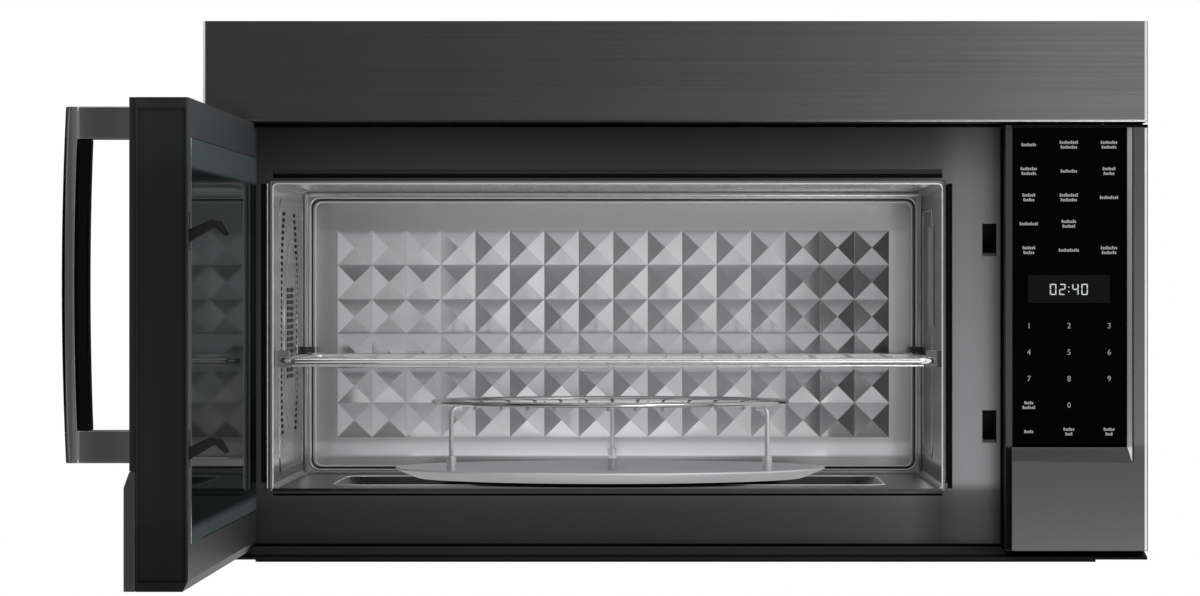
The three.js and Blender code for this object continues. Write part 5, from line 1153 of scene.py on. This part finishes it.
def seven_segments(text, x, z, wide, tall, thick):
    """Bars for lit digits: a to f run round a digit, g crosses it, and the colon is two dots."""
    bars = []
    half, nick = tall / 2, thick / 3
    for mark in text:
        if mark == ":":
            for level in COLON_LEVELS:
                bars.append((x, x + thick, z + level * tall - thick / 2, z + level * tall + thick / 2))
            x += thick + DIGIT_SPACE * wide
            continue
        across, left, right = (x + thick, x + wide - thick), (x, x + thick), (x + wide - thick, x + wide)
        upper, lower = (z + half + nick, z + tall - nick), (z + nick, z + half - nick)
        places = {
            "a": (*across, z + tall - thick, z + tall),
            "b": (*right, *upper),
            "c": (*right, *lower),
            "d": (*across, z, z + thick),
            "e": (*left, *lower),
            "f": (*left, *upper),
            "g": (*across, z + half - thick / 2, z + half + thick / 2),
        }
        bars += [places[letter] for letter in SEGMENTS[mark]]
        x += wide + DIGIT_SPACE * wide
    return bars


clock_bars = seven_segments(CLOCK_TIME, *CLOCK_START, *CLOCK_DIGIT, SEGMENT)
fit_bars("clock_digits", clock_bars, print_y - PRINT_THICK, PRINT_THICK, clock_light)
# Fibreglass board under solder lacquer: mottled green.
circuit = surface_finish("circuit_board", "#30653f", 0, 0.5, 6.7, shade=0.3, wander=0.1)
dress(circuit, "control_board")


# ---- Door ----------------------------------------------------------------------------------
# A moulded dark frame with a grey mirror-like inner glass, a fine screen behind it, and black
# glass over its outer face.

frame_low, frame_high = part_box("door_frame")
# ABS door frame, satin: charcoal, with painted shade on the faces turned from the oven and at the foot, and
# painted light towards the top.
frame_satin = surface_finish(
    "door_frame_satin", "#2d2e2f", 0, 0.42, 0.8, shade=0.05, wander=0.04, bump=0.08, specular=0.1,
    ramps=[
        ("X", [
            (frame_low.x, 0.5), (frame_high.x - 1.5 * MM, 0.5),
            (frame_high.x - 0.8 * MM, 1.0), (frame_high.x, 1.0),
        ]),
        ("Z", [(-0.22, 0.6), (-0.17, 0.7), (-0.15, 1.0), (0.07, 1.0), (0.10, 1.4), (0.14, 1.7)]),
    ],
)
softened("door_frame", frame_satin, 0.6 * MM, "door", segments=3)
# Toughened black glass: deep and glossy.
outer_glass = surface_finish("outer_glass", "#0a0a0b", 0, 0.05, 50, shade=0.05, wander=0.01, specular=0.5)
softened("door_outer_glass", outer_glass, 0.4 * MM, "door")
# Coated glass: a dim mirror inside, a little darker low down, between lighter grey-green bands at its foot
# and head: painted reflection.
inner_glass = surface_finish(
    "inner_glass", "#191d1d", 0, 0.035, 83, shade=0.05, wander=0.01,
    ramps=[("Z", [
        (-0.21, 5.6), (-0.170, 5.6), (-0.162, 0.6), (0.0, 1.0), (0.084, 1.0), (0.088, 6.4), (0.14, 6.0),
    ])],
)
set_shader(inner_glass, {"IOR": 1.012})
softened("door_inner_glass", inner_glass, 0.5 * MM, "door", segments=3)
pane_low, pane_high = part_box("door_inner_glass")
PANE_EDGE = 1.2 * MM
PANE_PROUD = 0.3 * MM
# Painted glint along the pane's edge, where its thickness catches the light: a pale green-grey line,
# brightest at foot and head.
pane_glint = surface_finish(
    "painted_pane_glint", "#898e8e", 0.2, 0.2, (25, 25, 1.7), shade=0.25, wander=0.05,
    ramps=[("Z", [
        (-0.21, 3.2), (-0.165, 2.4), (-0.14, 0.6), (0.0, 0.4), (0.085, 0.7), (0.11, 3.0), (0.14, 3.4),
    ])],
)
glint_bar = (pane_high.x - PANE_EDGE, pane_high.x + PANE_PROUD, pane_low.z, pane_high.z)
fit_bars("pane_edge_glint", [glint_bar], pane_low.y - STAND, PANE_EDGE, pane_glint, "door")
# Punched steel screen, blacked: finely mottled, almost black.
screen_black = surface_finish("screen_black", "#272727", 0.3, 0.5, 0.6, shade=0.5, wander=0.1, bump=0.4)
dress(screen_black, "door_screen")


# ---- Handle --------------------------------------------------------------------------------
# A bowed bar of the same black stainless with a crowned face, on two square posts, with a soft
# black grip along its inner side.

bar_low, bar_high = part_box("handle_bar")
grip_low, grip_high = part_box("handle_grip")
HANDLE_BOW = 3 * MM
HANDLE_METAL = 10 * MM
HANDLE_CROWN = 0.34  # of the metal's depth, lost at its edges
POST = 22.8 * MM
POST_SUNK = 3.5 * MM
POST_GAP = 0.3 * MM
POST_INSET = 0.6 * MM
POST_CORNER = 1.4 * MM
HANDLE_SHARP = 40
bar_back_x = bar_low.x + HANDLE_BOW + HANDLE_METAL
bar_mid_y = (bar_low.y + bar_high.y) / 2
bar_half = (bar_high.y - bar_low.y) / 2


def bowed_bar(name, section, low, high, rows=64):
    """A section of (out, across) carried up the handle, moved out by a parabola: the bow."""
    section = np.asarray(section, float)
    z = np.linspace(low, high, rows)
    along = (2 * z - bar_low.z - bar_high.z) / (bar_high.z - bar_low.z)
    out = HANDLE_BOW * (1 - along**2)
    x = bar_back_x - out[:, None] - section[None, :, 0]
    y = np.broadcast_to(bar_mid_y + section[None, :, 1], x.shape)
    grid = np.stack([x, y, np.broadcast_to(z[:, None], x.shape)], axis=-1)
    return grid_mesh(name, grid, wrap_v=True, fill=True, sharp=HANDLE_SHARP)


crown = np.linspace(-1, 1, 15)
crowned_face = np.stack([HANDLE_METAL * (1 - HANDLE_CROWN * crown**2), bar_half * crown], axis=1)
bar_section = np.vstack([[(0, -bar_half)], crowned_face, [(0, bar_half)]])
door_band_low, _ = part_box("door_outer_glass")


def post(name, low, high):
    """A square post from the bar's back to the door's glass."""
    half = bar_half - POST_INSET
    left, right = bar_mid_y - half, bar_mid_y + half
    ring = round_corners([(left, low), (right, low), (right, high), (left, high)], POST_CORNER, 4)
    reach = np.linspace(bar_back_x - POST_SUNK, door_band_low.x - POST_GAP, 6)
    grid = np.stack([np.column_stack([np.full(len(ring), x), ring]) for x in reach])
    return grid_mesh(name, grid, wrap_v=True, fill=True, sharp=HANDLE_SHARP)


# Black stainless, brushed along the bar: grey stripes between a painted dark rim and a painted highlight
# line.
handle_steel = surface_finish(
    "handle_steel", "#737373", 1, 0.30, (1.1, 1.1, 250), shade=0.05, wander=0.04, bump=0.08,
    ramps=[("X", [
        (bar_low.x, 0.08), (bar_low.x + 3.2 * MM, 0.15), (bar_low.x + 4.4 * MM, 0.95),
        (bar_low.x + 8 * MM, 1.0), (bar_low.x + 9.2 * MM, 1.5), (bar_low.x + 11.6 * MM, 1.6),
        (bar_low.x + 12.2 * MM, 2.3), (bar_low.x + 13.2 * MM, 2.2), (bar_low.x + 14 * MM, 1.0),
        (bar_high.x, 1.0),
    ])],
)
set_shader(handle_steel, {"Specular Tint": (0.1, 0.1, 0.1, 1)})
bar_meshes = [
    bowed_bar("bar", bar_section, bar_low.z, bar_high.z),
    post("post", bar_low.z, bar_low.z + POST),
    post("post", bar_high.z - POST, bar_high.z),
]
handle_piece = fit_joined(
    "bowed_bar", bar_meshes, handle_steel, "door", ["handle_bar"], HANDLE_SHARP
)
ease_edges(handle_piece, "eased_ends", 0.5 * MM, 2, 50)

GRIP = 9.3 * MM
GRIP_LAP = 0.3 * MM
GRIP_CORNER = 2.6 * MM
grip_half = (grip_high.y - grip_low.y) / 2
grip_corners = [(-GRIP_LAP, -grip_half), (-GRIP, -grip_half), (-GRIP, grip_half), (-GRIP_LAP, grip_half)]
grip_section = round_corners(grip_corners, GRIP_CORNER, 6)
# Silicone rubber, moulded: black and matt.
grip_rubber = surface_finish(
    "grip_rubber", "#050505", 0, 0.65, 0.7, shade=0.1, wander=0.06, bump=0.2, specular=0.05
)
grip_mesh = bowed_bar("soft_grip", grip_section, grip_low.z, grip_high.z)
fit_piece("soft_grip", grip_mesh, grip_rubber, "door", ["handle_grip"])


# ---- Latch ---------------------------------------------------------------------------------
# One black moulded lever with two hooks that reach out of the door, drawn down by a coil spring
# that stands in the door frame.

# Glass-filled nylon, moulded: black with a dull bloom.
hook_black = surface_finish(
    "hook_black", "#191919", 0, 0.5, 1.1, shade=0.1, wander=0.05, bump=0.15, specular=0.1
)
dress(hook_black, "latch_body")
softened("latch_lever", hook_black, 0.9 * MM, "latch", segments=3)

SPRING_TURNS = 9
SPRING_WIRE = 0.5 * MM
spring_low, spring_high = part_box("latch_spring")


def coil(name, low, high, rounds, wire, sides=8):
    """A helix that fills a box: the angle grows evenly while the height climbs from end to end."""
    angle = np.linspace(0, 2 * np.pi * rounds, 24 * rounds + 1)
    middle = (low + high) / 2
    radius = (high.x - low.x) / 2 - wire
    z = np.linspace(low.z + wire, high.z - wire, len(angle))
    path = np.stack([middle.x + radius * np.cos(angle), middle.y + radius * np.sin(angle), z], axis=1)
    outward = np.stack([np.cos(angle), np.sin(angle), np.zeros_like(angle)], axis=1)
    upward = np.cross(units(np.gradient(path, axis=0)), outward)
    around = turns(sides)[None, :, None]
    grid = path[:, None] + wire * (np.cos(around) * outward[:, None] + np.sin(around) * upward[:, None])
    return grid_mesh(name, grid, wrap_v=True, fill=True, sharp=60)


spring_mesh = coil("coil_spring", spring_low, spring_high, SPRING_TURNS, SPRING_WIRE)
fit_piece("coil_spring", spring_mesh, plated_wire, "door", ["latch_spring"])


# ---- Filters and cooktop lamps -------------------------------------------------------------
# Washable aluminium mesh in folded frames, and frosted lamp covers, let into the pan.

# Expanded aluminium mesh: silver, with dark gaps all over.
filter_mesh = surface_finish("filter_mesh", "#bfc0c2", 0.9, 0.4, 2.4, shade=0.35, wander=0.1, bump=0.6)
dress(filter_mesh, "grease_filter_left", "grease_filter_right")
dress(moulded_white, "task_lamp_left", "task_lamp_right")


# ---- Works inside the case -----------------------------------------------------------------
# Sheet-metal ducts, cast and wound parts. They only show when the case is opened or from odd
# angles, and are finished like the real ones.

# Die-cast aluminium: pale, soft and slightly uneven.
cast_metal = surface_finish("cast_aluminium", "#cbcdce", 0.9, 0.45, 2.9, shade=0.08, wander=0.08, bump=0.2)
# Lacquered copper wire, wound: warm brown lines.
winding_copper = surface_finish(
    "winding_copper", "#ad734b", 0.8, 0.35, (17, 17, 0.7), shade=0.25, wander=0.05, bump=0.3
)
# Pressed mica: dull grey-buff.
mica_sheet = surface_finish("mica_sheet", "#81807c", 0, 0.45, 14, shade=0.12, wander=0.08, bump=0.1)
dress(cast_metal, "magnetron", "convection_fan")
dress(winding_copper, "high_voltage_transformer")
dress(mica_sheet, "waveguide_cover")
dress(galvanised, "waveguide", "vent_blower_housing", "convection_housing")
dress(sleeve_steel, "convection_heater")
